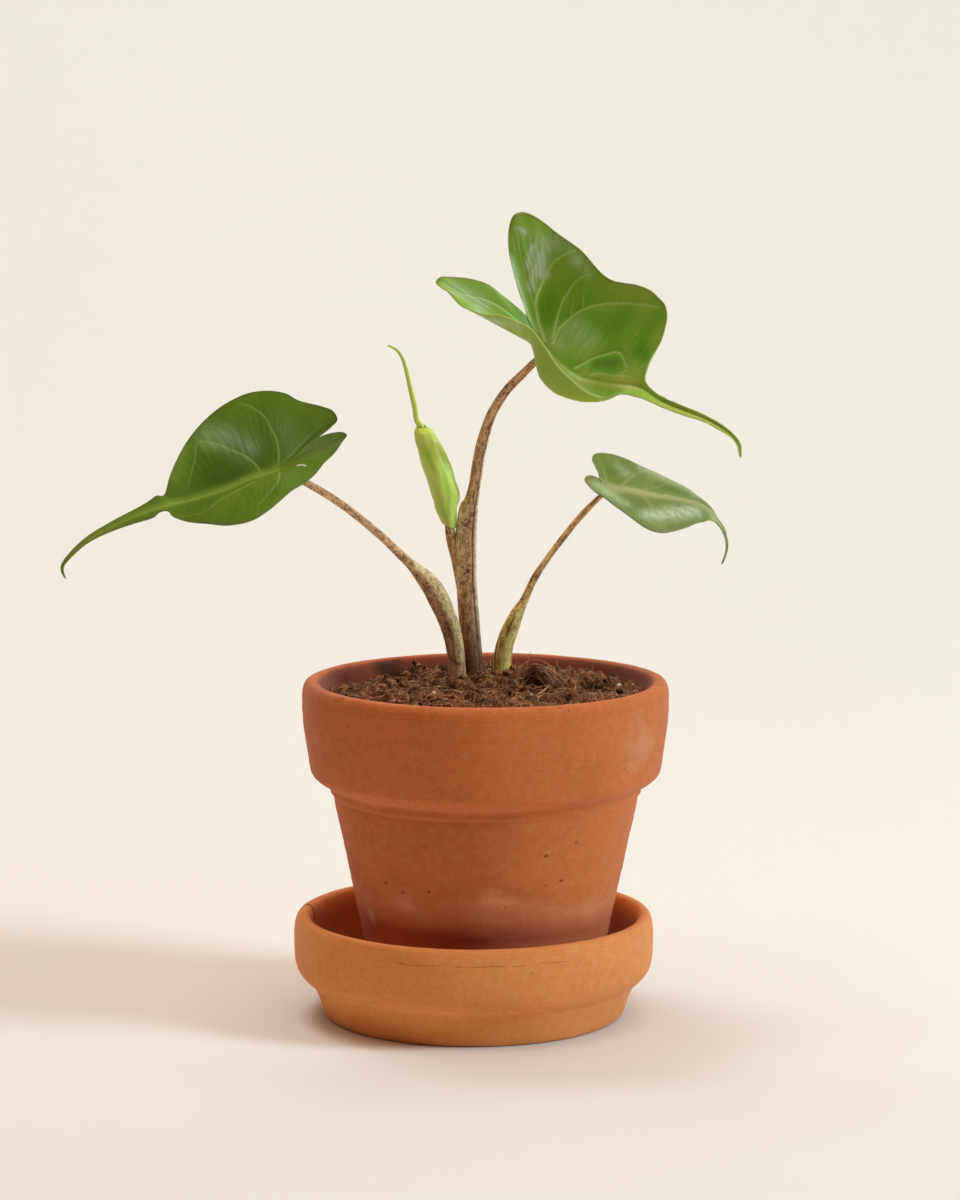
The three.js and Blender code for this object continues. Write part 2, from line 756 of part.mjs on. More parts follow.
function soilGeometry() {
  const points = [];
  const faces = [];
  const rimZ = 112;
  const rows = [];
  const low = [
    [0, soilBottom],
    [innerRadius(soilBottom) - 3.4, soilBottom],
    [innerRadius(soilBottom + 3.4) - FIT, soilBottom + 3.4],
    [innerRadius(70) - FIT, 70],
    [innerRadius(rimZ) - FIT, rimZ],
  ];
  const rimR = innerRadius(rimZ) - FIT;
  function ring(r, z) {
    const ids = [];
    const n = r === 0 ? 1 : SOIL_TURNS;
    for (let j = 0; j < n; j++) {
      const turn = (2 * Math.PI * j) / SOIL_TURNS;
      const x = POT_X + r * Math.cos(turn);
      const y = r * Math.sin(turn);
      ids.push(points.length);
      points.push(new THREE.Vector3(x, y, z === null ? soilHeight(x, y) : z));
    }
    rows.push(ids);
  }
  for (const [r, z] of low) ring(r, z);
  for (let i = 0; i <= SOIL_RINGS; i++) ring(rimR * (1 - i / SOIL_RINGS) * 1, null);
  for (let i = 0; i + 1 < rows.length; i++) {
    const a = rows[i];
    const b = rows[i + 1];
    for (let j = 0; j < SOIL_TURNS; j++) {
      const k = (j + 1) % SOIL_TURNS;
      if (a.length === 1) faces.push(a[0], b[k], b[j]);
      else if (b.length === 1) faces.push(a[j], a[k], b[0]);
      else {
        faces.push(a[j], a[k], b[k]);
        faces.push(a[j], b[k], b[j]);
      }
    }
  }
  return indexed(points, faces);
}

// A small repeatable random draw
let seed = 7;
function draw() {
  seed = (seed * 16807) % 2147483647;
  return seed / 2147483647;
}

function crumb(x, y, radius, flat) {
  const g = new THREE.IcosahedronGeometry(radius, 0);
  const pos = g.getAttribute("position");
  const phase = draw() * 6;
  for (let i = 0; i < pos.count; i++) {
    const px = pos.getX(i) / radius;
    const py = pos.getY(i) / radius;
    const pz = pos.getZ(i) / radius;
    const lump = 1 + 0.2 * Math.sin(4 * px + phase) * Math.cos(3 * py - 2 * pz + phase);
    pos.setXYZ(i, px * radius * lump, py * radius * lump, pz * radius * lump * flat);
  }
  g.rotateX(draw() * 0.6);
  g.rotateZ(draw() * Math.PI * 2);
  g.translate(x, y, soilHeight(x, y) + 0.15 * radius);
  return g;
}

function strand(x, y, turn, length, lift) {
  const radius = 0.45;
  const sides = 4;
  const steps = 6;
  const points = [];
  const faces = [];
  for (let i = 0; i <= steps; i++) {
    const u = i / steps;
    const bend = turn + 0.9 * (u - 0.5);
    const px = x + length * (u - 0.5) * Math.cos(bend);
    const py = y + length * (u - 0.5) * Math.sin(bend);
    const pz = soilHeight(px, py) - 0.9 + lift * 4 * u * (1 - u);
    for (let j = 0; j < sides; j++) {
      const a = (2 * Math.PI * j) / sides;
      const side = Math.cos(a) * radius;
      points.push(
        new THREE.Vector3(
          px - Math.sin(bend) * side,
          py + Math.cos(bend) * side,
          pz + Math.sin(a) * radius,
        ),
      );
    }
  }
  for (let i = 0; i < steps; i++) {
    for (let j = 0; j < sides; j++) {
      const k = (j + 1) % sides;
      const a = i * sides + j;
      const b = i * sides + k;
      faces.push(a, b, a + sides);
      faces.push(b, b + sides, a + sides);
    }
  }
  const last = steps * sides;
  faces.push(0, 2, 1, 0, 3, 2);
  faces.push(last, last + 1, last + 2, last, last + 2, last + 3);
  return indexed(points, faces);
}

let soil = toSolid(soilGeometry());
const soilR = innerRadius(112) - FIT;
for (let i = 0; i < 28; i++) {
  const r = (soilR - 4) * Math.sqrt(draw());
  const turn = draw() * 2 * Math.PI;
  const x = POT_X + r * Math.cos(turn);
  const y = r * Math.sin(turn);
  soil = soil.add(toSolid(crumb(x, y, 1.3 + 1.7 * draw(), 0.8)));
}
const GRAINS = [
  [-12, 3, 1.6],
  [8, -12, 1.7],
  [13, -14, 1.3],
  [22, -32, 1.5],
  [52, 4, 2],
  [26, 24, 1.8],
  [-14, 30, 1.4],
];
for (const [x, y, r] of GRAINS) soil = soil.add(toSolid(crumb(x, y, r, 0.9)));
for (let i = 0; i < 12; i++) {
  const r = (soilR - 11) * Math.sqrt(draw());
  const turn = draw() * 2 * Math.PI;
  const x = POT_X + r * Math.cos(turn);
  const y = r * Math.sin(turn);
  const coir = strand(x, y, draw() * Math.PI, 9 + 8 * draw(), 0.9 + 0.9 * draw());
  soil = soil.add(toSolid(coir));
}
for (const hole of holes) soil = soil.subtract(hole);
const soilPieces = soil.decompose().sort((a, b) => b.volume() - a.volume());
addPiece("soil", toGeometry(soilPieces[0]), 0x5d4636, 0.95);

export default plant;
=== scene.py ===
# Potted stingray alocasia: three long-tailed leaves and one rolled new leaf on
# mottled stalks, in a terracotta pot filled with peat and coir, on a clay saucer.
import math
import random

import bmesh
import bpy
import numpy as np
from mathutils import Matrix, Vector, noise


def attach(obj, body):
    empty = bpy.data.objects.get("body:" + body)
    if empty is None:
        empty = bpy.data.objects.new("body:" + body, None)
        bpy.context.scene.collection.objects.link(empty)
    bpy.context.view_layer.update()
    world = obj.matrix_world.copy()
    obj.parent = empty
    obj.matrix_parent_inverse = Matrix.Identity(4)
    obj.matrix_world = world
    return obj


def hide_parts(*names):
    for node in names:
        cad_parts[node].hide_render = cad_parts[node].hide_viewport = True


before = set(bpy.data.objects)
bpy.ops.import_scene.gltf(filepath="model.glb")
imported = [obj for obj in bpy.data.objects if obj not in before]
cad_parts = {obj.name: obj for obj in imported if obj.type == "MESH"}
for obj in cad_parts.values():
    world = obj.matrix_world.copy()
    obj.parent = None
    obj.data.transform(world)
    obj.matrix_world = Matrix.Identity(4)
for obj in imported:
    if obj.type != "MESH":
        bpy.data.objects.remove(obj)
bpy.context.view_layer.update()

MM = 0.001
FINE = 1.1  # millimetres between the points of a turned profile
random.seed(11)
noise.seed_set(11)  # without it, noise vectors start from the clock

# ---------------------------------------------------------------------------
# Studio: a seamless pale paper sweep. A softbox at the right front throws the one
# soft shadow, a broad warm light hangs above, and a light evens out the backdrop.
PAPER = "#eeefec"
PAPER_HALF_WIDTH = 5.0
PAPER_FRONT = -6.0
PAPER_TOP = 3.2
SWEEP_START = 0.55  # where the floor begins to curve up behind the plant
SWEEP_RADIUS = 0.9
SWEEP_STEPS = 12


def linear(code):
    """sRGB hex to linear colour."""
    channels = [int(code[i : i + 2], 16) / 255 for i in (1, 3, 5)]
    return (*(c / 12.92 if c <= 0.04045 else ((c + 0.055) / 1.055) ** 2.4 for c in channels), 1)


def add(tree, kind, inputs=None, **settings):
    """Adds a shader node, with its settings and what goes into its sockets. A
    node given as input stands for its main output, a hex text for its colour."""
    node = tree.nodes.new("ShaderNode" + kind)
    for name, value in settings.items():
        setattr(node, name, value)
    for name, value in (inputs or {}).items():
        if isinstance(value, bpy.types.Node):
            # a Mix gives its colour and an Attribute its factor at the third output
            third = value.bl_idname in ("ShaderNodeMix", "ShaderNodeAttribute")
            value = value.outputs[2 if third else 0]
        if isinstance(value, bpy.types.NodeSocket):
            tree.links.new(value, node.inputs[name])
        else:
            node.inputs[name].default_value = linear(value) if isinstance(value, str) else value
    return node


def new_material(name):
    """An empty material and its node tree."""
    material = bpy.data.materials.new(name)
    material.use_nodes = True
    material.node_tree.nodes.clear()
    return material, material.node_tree


def surface(tree, colour, roughness, bump=None, more=None):
    """Ends a material with its shader. Bump is a height, its strength and its
    depth in metres, and more is what else goes into the shader."""
    inputs = {"Base Color": colour, "Roughness": roughness, **(more or {})}
    if bump:
        inputs["Normal"] = add(tree, "Bump", dict(zip(("Height", "Strength", "Distance"), bump)))
    add(tree, "OutputMaterial", {"Surface": add(tree, "BsdfPrincipled", inputs)})


def finish_mesh(bm, name, materials):
    """Turns a bmesh into a smooth-shaded object with its materials."""
    mesh = bpy.data.meshes.new(name)
    bm.to_mesh(mesh)
    bm.free()
    piece = bpy.data.objects.new(name, mesh)
    bpy.context.scene.collection.objects.link(piece)
    for material in materials:
        mesh.materials.append(material)
    mesh.shade_smooth()
    return piece


camera = bpy.data.objects.new("camera", bpy.data.cameras.new("camera"))
camera.data.lens = 118.95
camera.data.sensor_width = 36
camera.data.clip_start = 0.05
camera.location = (0.00218, -1.3928, 0.346)
camera.rotation_euler = (math.radians(81.955), 0, 0)
bpy.context.scene.collection.objects.link(camera)
bpy.context.scene.camera = camera

bm = bmesh.new()
profile = [(PAPER_FRONT, 0), (SWEEP_START, 0)]
for i in range(1, SWEEP_STEPS + 1):
    turn = math.pi / 2 * i / SWEEP_STEPS
    profile.append((SWEEP_START + SWEEP_RADIUS * math.sin(turn), SWEEP_RADIUS * (1 - math.cos(turn))))
profile.append((SWEEP_START + SWEEP_RADIUS, PAPER_TOP))
chain = [bm.verts.new((-PAPER_HALF_WIDTH, y, z)) for y, z in profile]
edges = [bm.edges.new(pair) for pair in zip(chain, chain[1:])]
drawn = bmesh.ops.extrude_edge_only(bm, edges=edges)
moved = [g for g in drawn["geom"] if isinstance(g, bmesh.types.BMVert)]
bmesh.ops.translate(bm, verts=moved, vec=(2 * PAPER_HALF_WIDTH, 0, 0))
bmesh.ops.recalc_face_normals(bm, faces=bm.faces)

paper, tree = new_material("matte backdrop paper")
place = add(tree, "TexCoord").outputs["Object"]
cloud = add(tree, "TexNoise", {"Vector": place, "Scale": 1.2, "Detail": 2.0})
tone = add(tree, "Mix", {0: cloud, 6: PAPER, 7: "#ecedea"}, data_type="RGBA")
surface(tree, tone, 0.9)
backdrop = finish_mesh(bm, "backdrop", [paper])


def area_light(name, place, aim, size, power, colour):
    """A square soft light that faces the given point."""
    light = bpy.data.objects.new(name, bpy.data.lights.new(name, "AREA"))
    light.data.size = size
    light.data.energy = power
    light.data.color = linear(colour)[:3]
    light.location = place
    light.rotation_euler = (Vector(aim) - Vector(place)).to_track_quat("-Z", "Y").to_euler()
    bpy.context.scene.collection.objects.link(light)


area_light("key softbox", (1.747, -0.568, 1.138), (0, 0, 0.12), 0.55, 28, "#dcf7ff")
area_light("overhead softbox", (0, -0.3, 2.3), (0, 0.1, 0), 2.0, 32.5, "#ffd3b0")
area_light("warm bounce from the left", (-1.775, -0.313, 1.382), (0, 0, 0.12), 1.6, 3, "#ffd9a8")
area_light("backdrop light", (-0.6, 0.75, 2.2), (-0.5, 1.4, 0.8), 0.8, 17, "#e2f3fa")
room = bpy.data.worlds.new("room light")
room.use_nodes = True
room.node_tree.nodes["Background"].inputs["Color"].default_value = linear("#fff7ec")
room.node_tree.nodes["Background"].inputs["Strength"].default_value = 0.02
bpy.context.scene.world = room
bpy.context.scene.view_settings.view_transform = "Standard"

# ---------------------------------------------------------------------------
# Saucer: light orange earthenware pressed and turned on a wheel, fired without
# a glaze. A rolled lip stands over a tapering foot, and a few hairline cracks
# opened in the kiln.
SAUCER_PROFILE = [
    (0, 0), (51.8, 0), (53.4, 0.4), (54.2, 2), (55.8, 6.7), (57.9, 11.1), (59, 12.6),
    (61, 14), (63.2, 17), (64, 20), (64.4, 27), (64.2, 31.7), (63.7, 34.6), (62.8, 36),
    (61.2, 36.5), (59.6, 36), (58.6, 34.6), (58.2, 31), (57.3, 21), (55, 15.5),
    (51.5, 10.5), (49.5, 7.3), (46.5, 6), (0, 6),
]
SAUCER_SIDES = 240
SAUCER_WELL = ((5.9, 6, 7.3, 10.5, 15.5, 21, 31, 34.6), (0, 46.5, 49.5, 51.5, 55, 57.3, 58.2, 58.6))
RIM_CRACK = [(-63.6, 9.5, 33), (-62.6, 10.6, 36.2), (-60.2, 11.4, 36.6), (-57.9, 9.4, 35), (-57.8, 9, 31)]
LIP_CRACK = [
    (-26, -58.8, 31.4), (-23.6, -59.8, 30.8), (-14, -62.7, 31.1), (-2.6, -64.2, 30.9),
    (8, -63.7, 31.1), (15.9, -62.3, 30.8), (23.2, -60, 31.4), (30, -56.8, 31), (35.2, -53.8, 31.3),
]


def curve(points, places):
    """Points of a smooth line through the given ones. Place 2.5 lies between
    the third and the fourth."""
    points = np.asarray(points, float)
    last = len(points) - 1
    wide = np.vstack([2 * points[0] - points[1], points, 2 * points[-1] - points[-2]])
    places = np.atleast_1d(np.asarray(places, float))
    low = np.minimum(places.astype(int), last - 1)
    w = (places - low)[:, None]
    before, start, end, after = (wide[low + i] for i in range(4))
    gap = [
        np.maximum(((b - a) ** 2).sum(1) ** 0.25, 1e-4)[:, None]
        for a, b in ((before, start), (start, end), (end, after))
    ]
    leave = (start - before) / gap[0] - (end - before) / (gap[0] + gap[1]) + (end - start) / gap[1]
    arrive = (end - start) / gap[1] - (after - start) / (gap[1] + gap[2]) + (after - end) / gap[2]
    leave, arrive = leave * gap[1], arrive * gap[1]
    return (
        start
        + leave * w
        + (3 * (end - start) - 2 * leave - arrive) * w**2
        + (2 * (start - end) + leave + arrive) * w**3
    )


def steps_of(line):
    """Lengths of the steps from point to point of a line."""
    return np.linalg.norm(np.diff(line, axis=0), axis=1)


def walk_of(steps):
    """How far along its line each point lies."""
    return np.concatenate([[0], np.cumsum(steps)])


def even_line(points, step):
    """A smooth line through the points, with a point about every step."""
    points = np.asarray(points, float)
    places = [0.0]
    for i, length in enumerate(steps_of(points)):
        count = max(1, math.ceil(length / step))
        places += [i + n / count for n in range(1, count + 1)]
    return curve(points, places)


def turned(profile, centre, sides):
    """A shape spun round an upright axis from its profile in millimetres."""
    bm = bmesh.new()
    chain = [bm.verts.new(((centre + max(r, 0)) * MM, 0, z * MM)) for r, z in profile]
    edges = [bm.edges.new(pair) for pair in zip(chain, chain[1:])]
    bmesh.ops.spin(
        bm, geom=chain + edges, cent=(centre * MM, 0, 0), axis=(0, 0, 1),
        angle=2 * math.pi, steps=sides, use_merge=True,
    )
    bmesh.ops.remove_doubles(bm, verts=bm.verts, dist=1e-6)
    bmesh.ops.recalc_face_normals(bm, faces=bm.faces)
    bm.normal_update()
    return bm


def hand_made(bm, centre, amount):
    """Slight unevenness of a turned wall, in millimetres."""
    for v in bm.verts:
        flat = Vector((v.co.x - centre * MM, v.co.y, 0))
        if flat.length < 1e-5:
            continue
        swell = noise.noise(v.co * 22) * 0.6 + noise.noise(Vector((0, 0, v.co.z * 420))) * 0.35
        swell += noise.noise(v.co * 160) * 0.22
        v.co += v.normal * swell * amount * MM


def distance_to(path, points):
    """Distance of each point to a line through path, all in metres."""
    best = np.full(len(points), 9.0)
    for a, b in zip(path, path[1:]):
        along = b - a
        share = np.clip(((points - a) @ along) / max(along @ along, 1e-12), 0, 1)
        best = np.minimum(best, np.linalg.norm(points - a - share[:, None] * along, axis=1))
    return best


def open_crack(bm, path, width, depth, dark):
    """Cuts a hairline into a wall: finer faces along the path, pressed in, and
    darkened through the crack attribute."""
    crack = bm.verts.layers.float.get("crack") or bm.verts.layers.float.new("crack")
    path = even_line(path, 1.2) * MM
    path += np.array([noise.noise_vector(Vector(p) * 900) for p in path]) * 0.25 * MM
    for reach, cuts in ((2.4, 2), (0.9, 2)):
        edges = list(bm.edges)
        middle = np.array([(e.verts[0].co + e.verts[1].co) / 2 for e in edges])
        near = distance_to(path, middle) < reach * MM
        chosen = [e for e, n in zip(edges, near) if n]
        bmesh.ops.subdivide_edges(bm, edges=chosen, cuts=cuts, use_grid_fill=True)
    bm.normal_update()
    verts = list(bm.verts)
    apart = distance_to(path, np.array([v.co for v in verts]))
    for v, d in zip(verts, apart):
        if d < width * MM:
            uneven = min(1, max(0.15, 0.7 + 1.6 * noise.noise(v.co * 240)))
            share = 1 - (d / (width * MM)) ** 2
            v.co -= v.normal * depth * uneven * MM * share
            v[crack] = max(v[crack], uneven * share * dark)


def fired_clay(name, body, dark, pale, dusty, pitted, rings):
    """Unglazed earthenware: warm iron-red body with soft kiln clouds, faint
    throwing lines, grog specks and pinholes, and no gloss at all. Pitted says
    how dark the pinholes are, and rings are the heights, in metres, of the
    grooves a tool left. Returns the material, its tree, the colour so far, the
    heights so far and the position."""
    material, tree = new_material(name)
    place = add(tree, "TexCoord").outputs["Object"]
    cloud = add(tree, "TexNoise", {"Vector": place, "Scale": 26.0, "Detail": 4.0, "Roughness": 0.6})
    cloudy = add(tree, "MapRange", {"Value": cloud, "From Min": 0.35, "From Max": 0.7, "To Max": 0.7})
    mottle = add(tree, "TexNoise", {"Vector": place, "Scale": 300.0, "Detail": 7.0, "Roughness": 0.75})
    mottled = add(tree, "MapRange", {"Value": mottle, "From Min": 0.45, "From Max": 0.65, "To Max": dusty})
    # throwing lines: level streaks about 1.5 mm apart
    level = add(tree, "Mapping", {"Vector": place, "Scale": (0.06, 0.06, 1.0)})
    lines = add(tree, "TexNoise", {"Vector": level, "Scale": 650.0, "Detail": 2.0})
    line_tone = add(tree, "MapRange", {"Value": lines, "From Min": 0.5, "From Max": 0.75, "To Max": 0.22})
    # pinholes: ragged, about 0.6 mm wide, in loose groups
    ragged = add(tree, "TexNoise", {"Vector": place, "Scale": 1300.0, "Detail": 2.0})
    ragged = add(tree, "VectorMath", {
        0: ragged.outputs["Color"], 1: (0.0011, 0.0011, 0.0011), 2: place,
    }, operation="MULTIPLY_ADD")
    cells = add(tree, "TexVoronoi", {"Vector": ragged, "Scale": 300.0, "Randomness": 1.0})
    group = add(tree, "TexNoise", {"Vector": place, "Scale": 34.0, "Detail": 1.0})
    group = add(tree, "MapRange", {
        "Value": group, "From Min": 0.42, "From Max": 0.62, "To Min": 0.97, "To Max": 0.5,
    })
    chosen = add(tree, "Math", {0: cells.outputs["Color"], 1: group}, operation="GREATER_THAN")
    hole = add(tree, "MapRange", {
        "Value": cells, "From Min": 0.05, "From Max": 0.2, "To Min": pitted, "To Max": 0.0,
    })
    pinhole = add(tree, "Math", {0: hole, 1: chosen}, operation="MULTIPLY")
    grit = add(tree, "TexNoise", {"Vector": place, "Scale": 1100.0, "Detail": 3.0})
    speck = add(tree, "MapRange", {"Value": grit, "From Min": 0.54, "From Max": 0.66, "To Max": 0.4})
    crack = add(tree, "Attribute", attribute_name="crack")
    cracked = add(tree, "Math", {0: crack, 1: 0.75}, operation="MULTIPLY")
    up = add(tree, "SeparateXYZ", {"Vector": place}).outputs["Z"]
    up = add(tree, "Math", {0: cloud, 1: 0.0012, 2: up}, operation="MULTIPLY_ADD")
    groove = 0.0
    for ring in rings:
        away = add(tree, "Math", {0: up, 1: ring + 0.0006, 2: 0.00022}, operation="COMPARE")
        groove = add(tree, "Math", {0: away, 1: groove}, operation="MAXIMUM")
    shaded = add(tree, "Math", {0: groove, 1: 0.35}, operation="MULTIPLY")
    colour = body
    for share, tint in (
        (cloudy, dark), (mottled, pale), (line_tone, dark), (pinhole, "#8a4422"), (speck, dark),
        (cracked, "#6a3218"), (shaded, dark),
    ):
        colour = add(tree, "Mix", {0: share, 6: colour, 7: tint}, data_type="RGBA")
    height = grit
    for part, depth in ((lines, 0.5), (pinhole, -2.0), (groove, -0.8)):
        height = add(tree, "Math", {0: part, 1: depth, 2: height}, operation="MULTIPLY_ADD")
    return material, tree, colour, height, place


def close_clay(tree, colour, height, roughness):
    """The matt shader of fired clay."""
    more = {"Specular IOR Level": 0.25, "Sheen Weight": 0.1}
    surface(tree, colour, roughness, (height, 0.35, 0.00035), more)


bm = turned(even_line(SAUCER_PROFILE, FINE), 0, SAUCER_SIDES)
hand_made(bm, 0, 0.35)
open_crack(bm, RIM_CRACK, 0.9, 1.8, 4.0)
open_crack(bm, LIP_CRACK, 0.24, 0.22, 0.6)
# the well attribute marks the saucer's hollow, which gets painted shade
well_shade_layer = bm.verts.layers.float.new("well_shade")
for v in bm.verts:
    z = v.co.z / MM
    inside = v.co.xy.length / MM < np.interp(z, *SAUCER_WELL) + 1
    v[well_shade_layer] = inside * min(1, max(0, (34.5 - z) / 4))
saucer_clay, tree, colour, height, place = fired_clay(
    "light unglazed earthenware", "#f1974f", "#e0864a", "#f5b67c", 0.3, 0.3,
    (0.0338, 0.0349, 0.0149),
)
# painted shade: the well, the hollow between the pot and the lip, is painted darker and browner than the lip
well_shade = add(tree, "Attribute", attribute_name="well_shade")
colour = add(tree, "Mix", {0: well_shade, 6: colour, 7: "#cc875a"}, data_type="RGBA")
close_clay(tree, colour, height, 0.88)
saucer = finish_mesh(bm, "clay_saucer", [saucer_clay])
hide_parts("saucer")
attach(saucer, "root")

# ---------------------------------------------------------------------------
# Pot: redder earthenware, turned, with a tall collar over a tapering body and
# a drain hole in its floor. Years of watering left a chalky tide line, and the
# foot below it is painted a flat, lighter tint: painted light against the saucer's shade.
POT_X = 4.2
POT_OUTSIDE = [
    (7, 6.3), (37.4, 6.3), (38.9, 6.9), (39.4, 8.4), (43.4, 27), (47.39, 46), (51.17, 64),
    (54.2, 78.2), (54.1, 79.4), (55.4, 80.9), (55.6, 82.9), (57.7, 84.2), (60, 85.7), (61.6, 87.1),
    (62.4, 88.6),
    (63.5, 95.8), (64.7, 104.5), (65.2, 113), (65, 117.5), (64.6, 118.9), (63.7, 120.1),
    (62, 120.6), (60, 120.3), (58.3, 119), (56.49, 115.5),
]
POT_SIDES = 250
POT_BODY = ((8.4, 27, 46, 64, 79.8), (39.4, 43.4, 47.39, 51.17, 54.7))
POT_WALL = ((13, 16, 70, 115.5, 120), (32.4, 35.6, 46.9, 56.5, 60.3))
# small pits: x, z and length
PITS = [
    (-31, 54.2, 0.8), (-25.2, 51.4, 0.8), (-15.9, 53.2, 0.6), (29.9, 56.4, 0.9), (24.5, 66.2, 0.7),
    (-17.2, 70, 0.8), (35, 70, 0.9), (38.8, 58.4, 0.8), (39.2, 50.4, 1.0), (24.6, 55.2, 0.6), (2, 74.5, 0.5),
]
# colour of a dark patch on the inner wall at the back left
INNER_DARK_PATCH = "#3c2416"
POT_INSIDE = [(56.49, 115.5), (46.93, 70), (35.6, 16), (32.36, 13), (7, 13), (7, 6.3)]

profile = np.vstack([even_line(POT_OUTSIDE, FINE), even_line(POT_INSIDE, 6)[1:]])
bm = turned(profile, POT_X, POT_SIDES)
hand_made(bm, POT_X, 0.4)
# inside marks the inner wall, which gets painted shade
inside_layer = bm.verts.layers.float.new("inside")
for v in bm.verts:
    r = math.hypot(v.co.x / MM - POT_X, v.co.y / MM)
    wall = np.interp(v.co.z / MM, *POT_WALL)
    v[inside_layer] = 0.95 * min(1, max(0, wall + 1 - r)) * min(1, max(0, 120.7 - v.co.z / MM))
for x, z, length in PITS:
    y = -math.sqrt(np.interp(z, *POT_BODY) ** 2 - (x + length / 2 - POT_X) ** 2)
    open_crack(bm, [(x, y, z), (x + length, y, z + 0.2 * length)], 0.7, 0.4, 1.0)
pot_clay, tree, colour, height, place = fired_clay(
    "red unglazed earthenware", "#d3703b", "#bd6133", "#e2955b", 0.25, 0.75,
    (0.1163, 0.1177, 0.0988, 0.0812),
)
axes = add(tree, "SeparateXYZ", {"Vector": place})
drift = add(tree, "TexNoise", {"Vector": place, "Scale": 28.0, "Detail": 4.0, "Roughness": 0.5})
# height above the tide line, which wanders by a few millimetres
wander = add(tree, "Math", {0: drift, 1: -0.03, 2: axes.outputs["Z"]}, operation="MULTIPLY_ADD")
# painted light: below the tide line the foot takes a flat tint without the body's darker clouds, lifting the
# shade the saucer casts on it
foot = add(tree, "MapRange", {
    "Value": wander, "From Min": 0.02, "From Max": 0.034, "To Min": 1.0, "To Max": 0.0,
})
band_low = add(tree, "MapRange", {"Value": wander, "From Min": 0.02, "From Max": 0.032})
band_high = add(tree, "MapRange", {
    "Value": wander, "From Min": 0.032, "From Max": 0.038, "To Min": 1.0, "To Max": 0.0,
})
chalk = add(tree, "Math", {0: band_low, 1: band_high}, operation="MULTIPLY")
chalky = add(tree, "TexNoise", {"Vector": place, "Scale": 60.0, "Detail": 4.0, "Roughness": 0.5})
chalky = add(tree, "MapRange", {
    "Value": chalky, "From Min": 0.42, "From Max": 0.62, "To Min": 0.28, "To Max": 0.72,
})
chalk = add(tree, "Math", {0: chalk, 1: chalky}, operation="MULTIPLY")
# painted shade: the inner wall above the soil is painted darker, for the shade inside the pot
shaded_inner_wall = add(tree, "Attribute", attribute_name="inside")
tints = [(foot, "#cf7048"), (chalk, "#e89c6e"), (shaded_inner_wall, "#7a3a24")]
# two pale spots: a sharp chalky one low on the left, and a faint ragged one on the
# lit right of the collar, chalk dust with a painted highlight; and a dark patch on the inner wall at the back
# left
torn = add(tree, "TexNoise", {"Vector": place, "Scale": 120.0, "Detail": 5.0})
torn = add(tree, "VectorMath", {
    0: torn.outputs["Color"], 1: (0.02, 0.02, 0.02), 2: place,
}, operation="MULTIPLY_ADD")
torn = add(tree, "VectorMath", {0: torn, 1: (0.01, 0.01, 0.01)}, operation="SUBTRACT")
for start, spot, inner, outer, amount, tint in (
    (place, (-0.0367, -0.0227, 0.0395), 0.0014, 0.0036, 0.7, "#e6b795"),
    (torn, (0.056, -0.035, 0.103), 0.002, 0.013, 0.25, "#e6b795"),
    (torn, (-0.029, 0.044, 0.1135), 0.006, 0.013, 0.85, INNER_DARK_PATCH),
):
    apart = add(tree, "VectorMath", {0: start, 1: spot}, operation="DISTANCE")
    near = add(tree, "MapRange", {
        "Value": apart.outputs["Value"], "From Min": inner, "From Max": outer, "To Min": amount,
        "To Max": 0.0,
    })
    if tint == INNER_DARK_PATCH:  # the dark patch lies on the inner wall alone
        near = add(tree, "Math", {0: near, 1: shaded_inner_wall}, operation="MULTIPLY")
    tints.append((near, tint))
# potting dirt rubbed into the rim
crest = add(tree, "MapRange", {"Value": axes.outputs["Z"], "From Min": 0.1185, "From Max": 0.1203})
dirt = add(tree, "TexNoise", {"Vector": place, "Scale": 170.0, "Detail": 5.0, "Roughness": 0.7})
dirty = add(tree, "MapRange", {"Value": dirt, "From Min": 0.5, "From Max": 0.66, "To Max": 0.4})
rim_dirt = add(tree, "Math", {0: crest, 1: dirty}, operation="MULTIPLY")
for share, tint in [*tints, (rim_dirt, "#7c4a2c")]:
    colour = add(tree, "Mix", {0: share, 6: colour, 7: tint}, data_type="RGBA")
close_clay(tree, colour, height, 0.86)
pot = finish_mesh(bm, "clay_pot", [pot_clay])
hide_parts("pot")
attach(pot, "root")

# ---------------------------------------------------------------------------
# Soil: peat and coir pressed in round the stalks, a low mound of crumbs with
# rusty fibres lying over them and a few white grains of expanded rock.
SOIL_FLOOR = 13.3
SOIL_EDGE = 112
SOIL_SIDES = 280


def inner_radius(z):
    """The pot's inner radius at a height, both in millimetres."""
    return 39.2 + 0.21 * (z - 7) - 5.5


def bell(x, y, middle_x, middle_y, wide, deep):
    """A smooth bump, 1 at its middle. Wide and deep are in square millimetres."""
    return math.exp(-((x - middle_x) ** 2 / wide + (y - middle_y) ** 2 / deep))


def soil_height(x, y):
    """Height of the soil's rough top, in millimetres."""
    mound = bell(x, y, 2, 14, 1352, 1352)
    rough = (
        0.8 * math.sin(x * 0.41 + 1.2 * math.sin(y * 0.23)) * math.cos(y * 0.37 + 0.8)
        + 0.5 * math.sin(x * 0.83 + y * 0.61)
        + 0.4 * math.cos(x * 0.27 - y * 0.97)
    )
    hump = 2.6 * bell(x, y, 24, 24, 90, 90)
    hollow = 3.2 * bell(x, y, -33, 24, 110, 110)
    return 115.4 - 1.6 * (y / 56) + 3.4 * mound + rough + hump - hollow


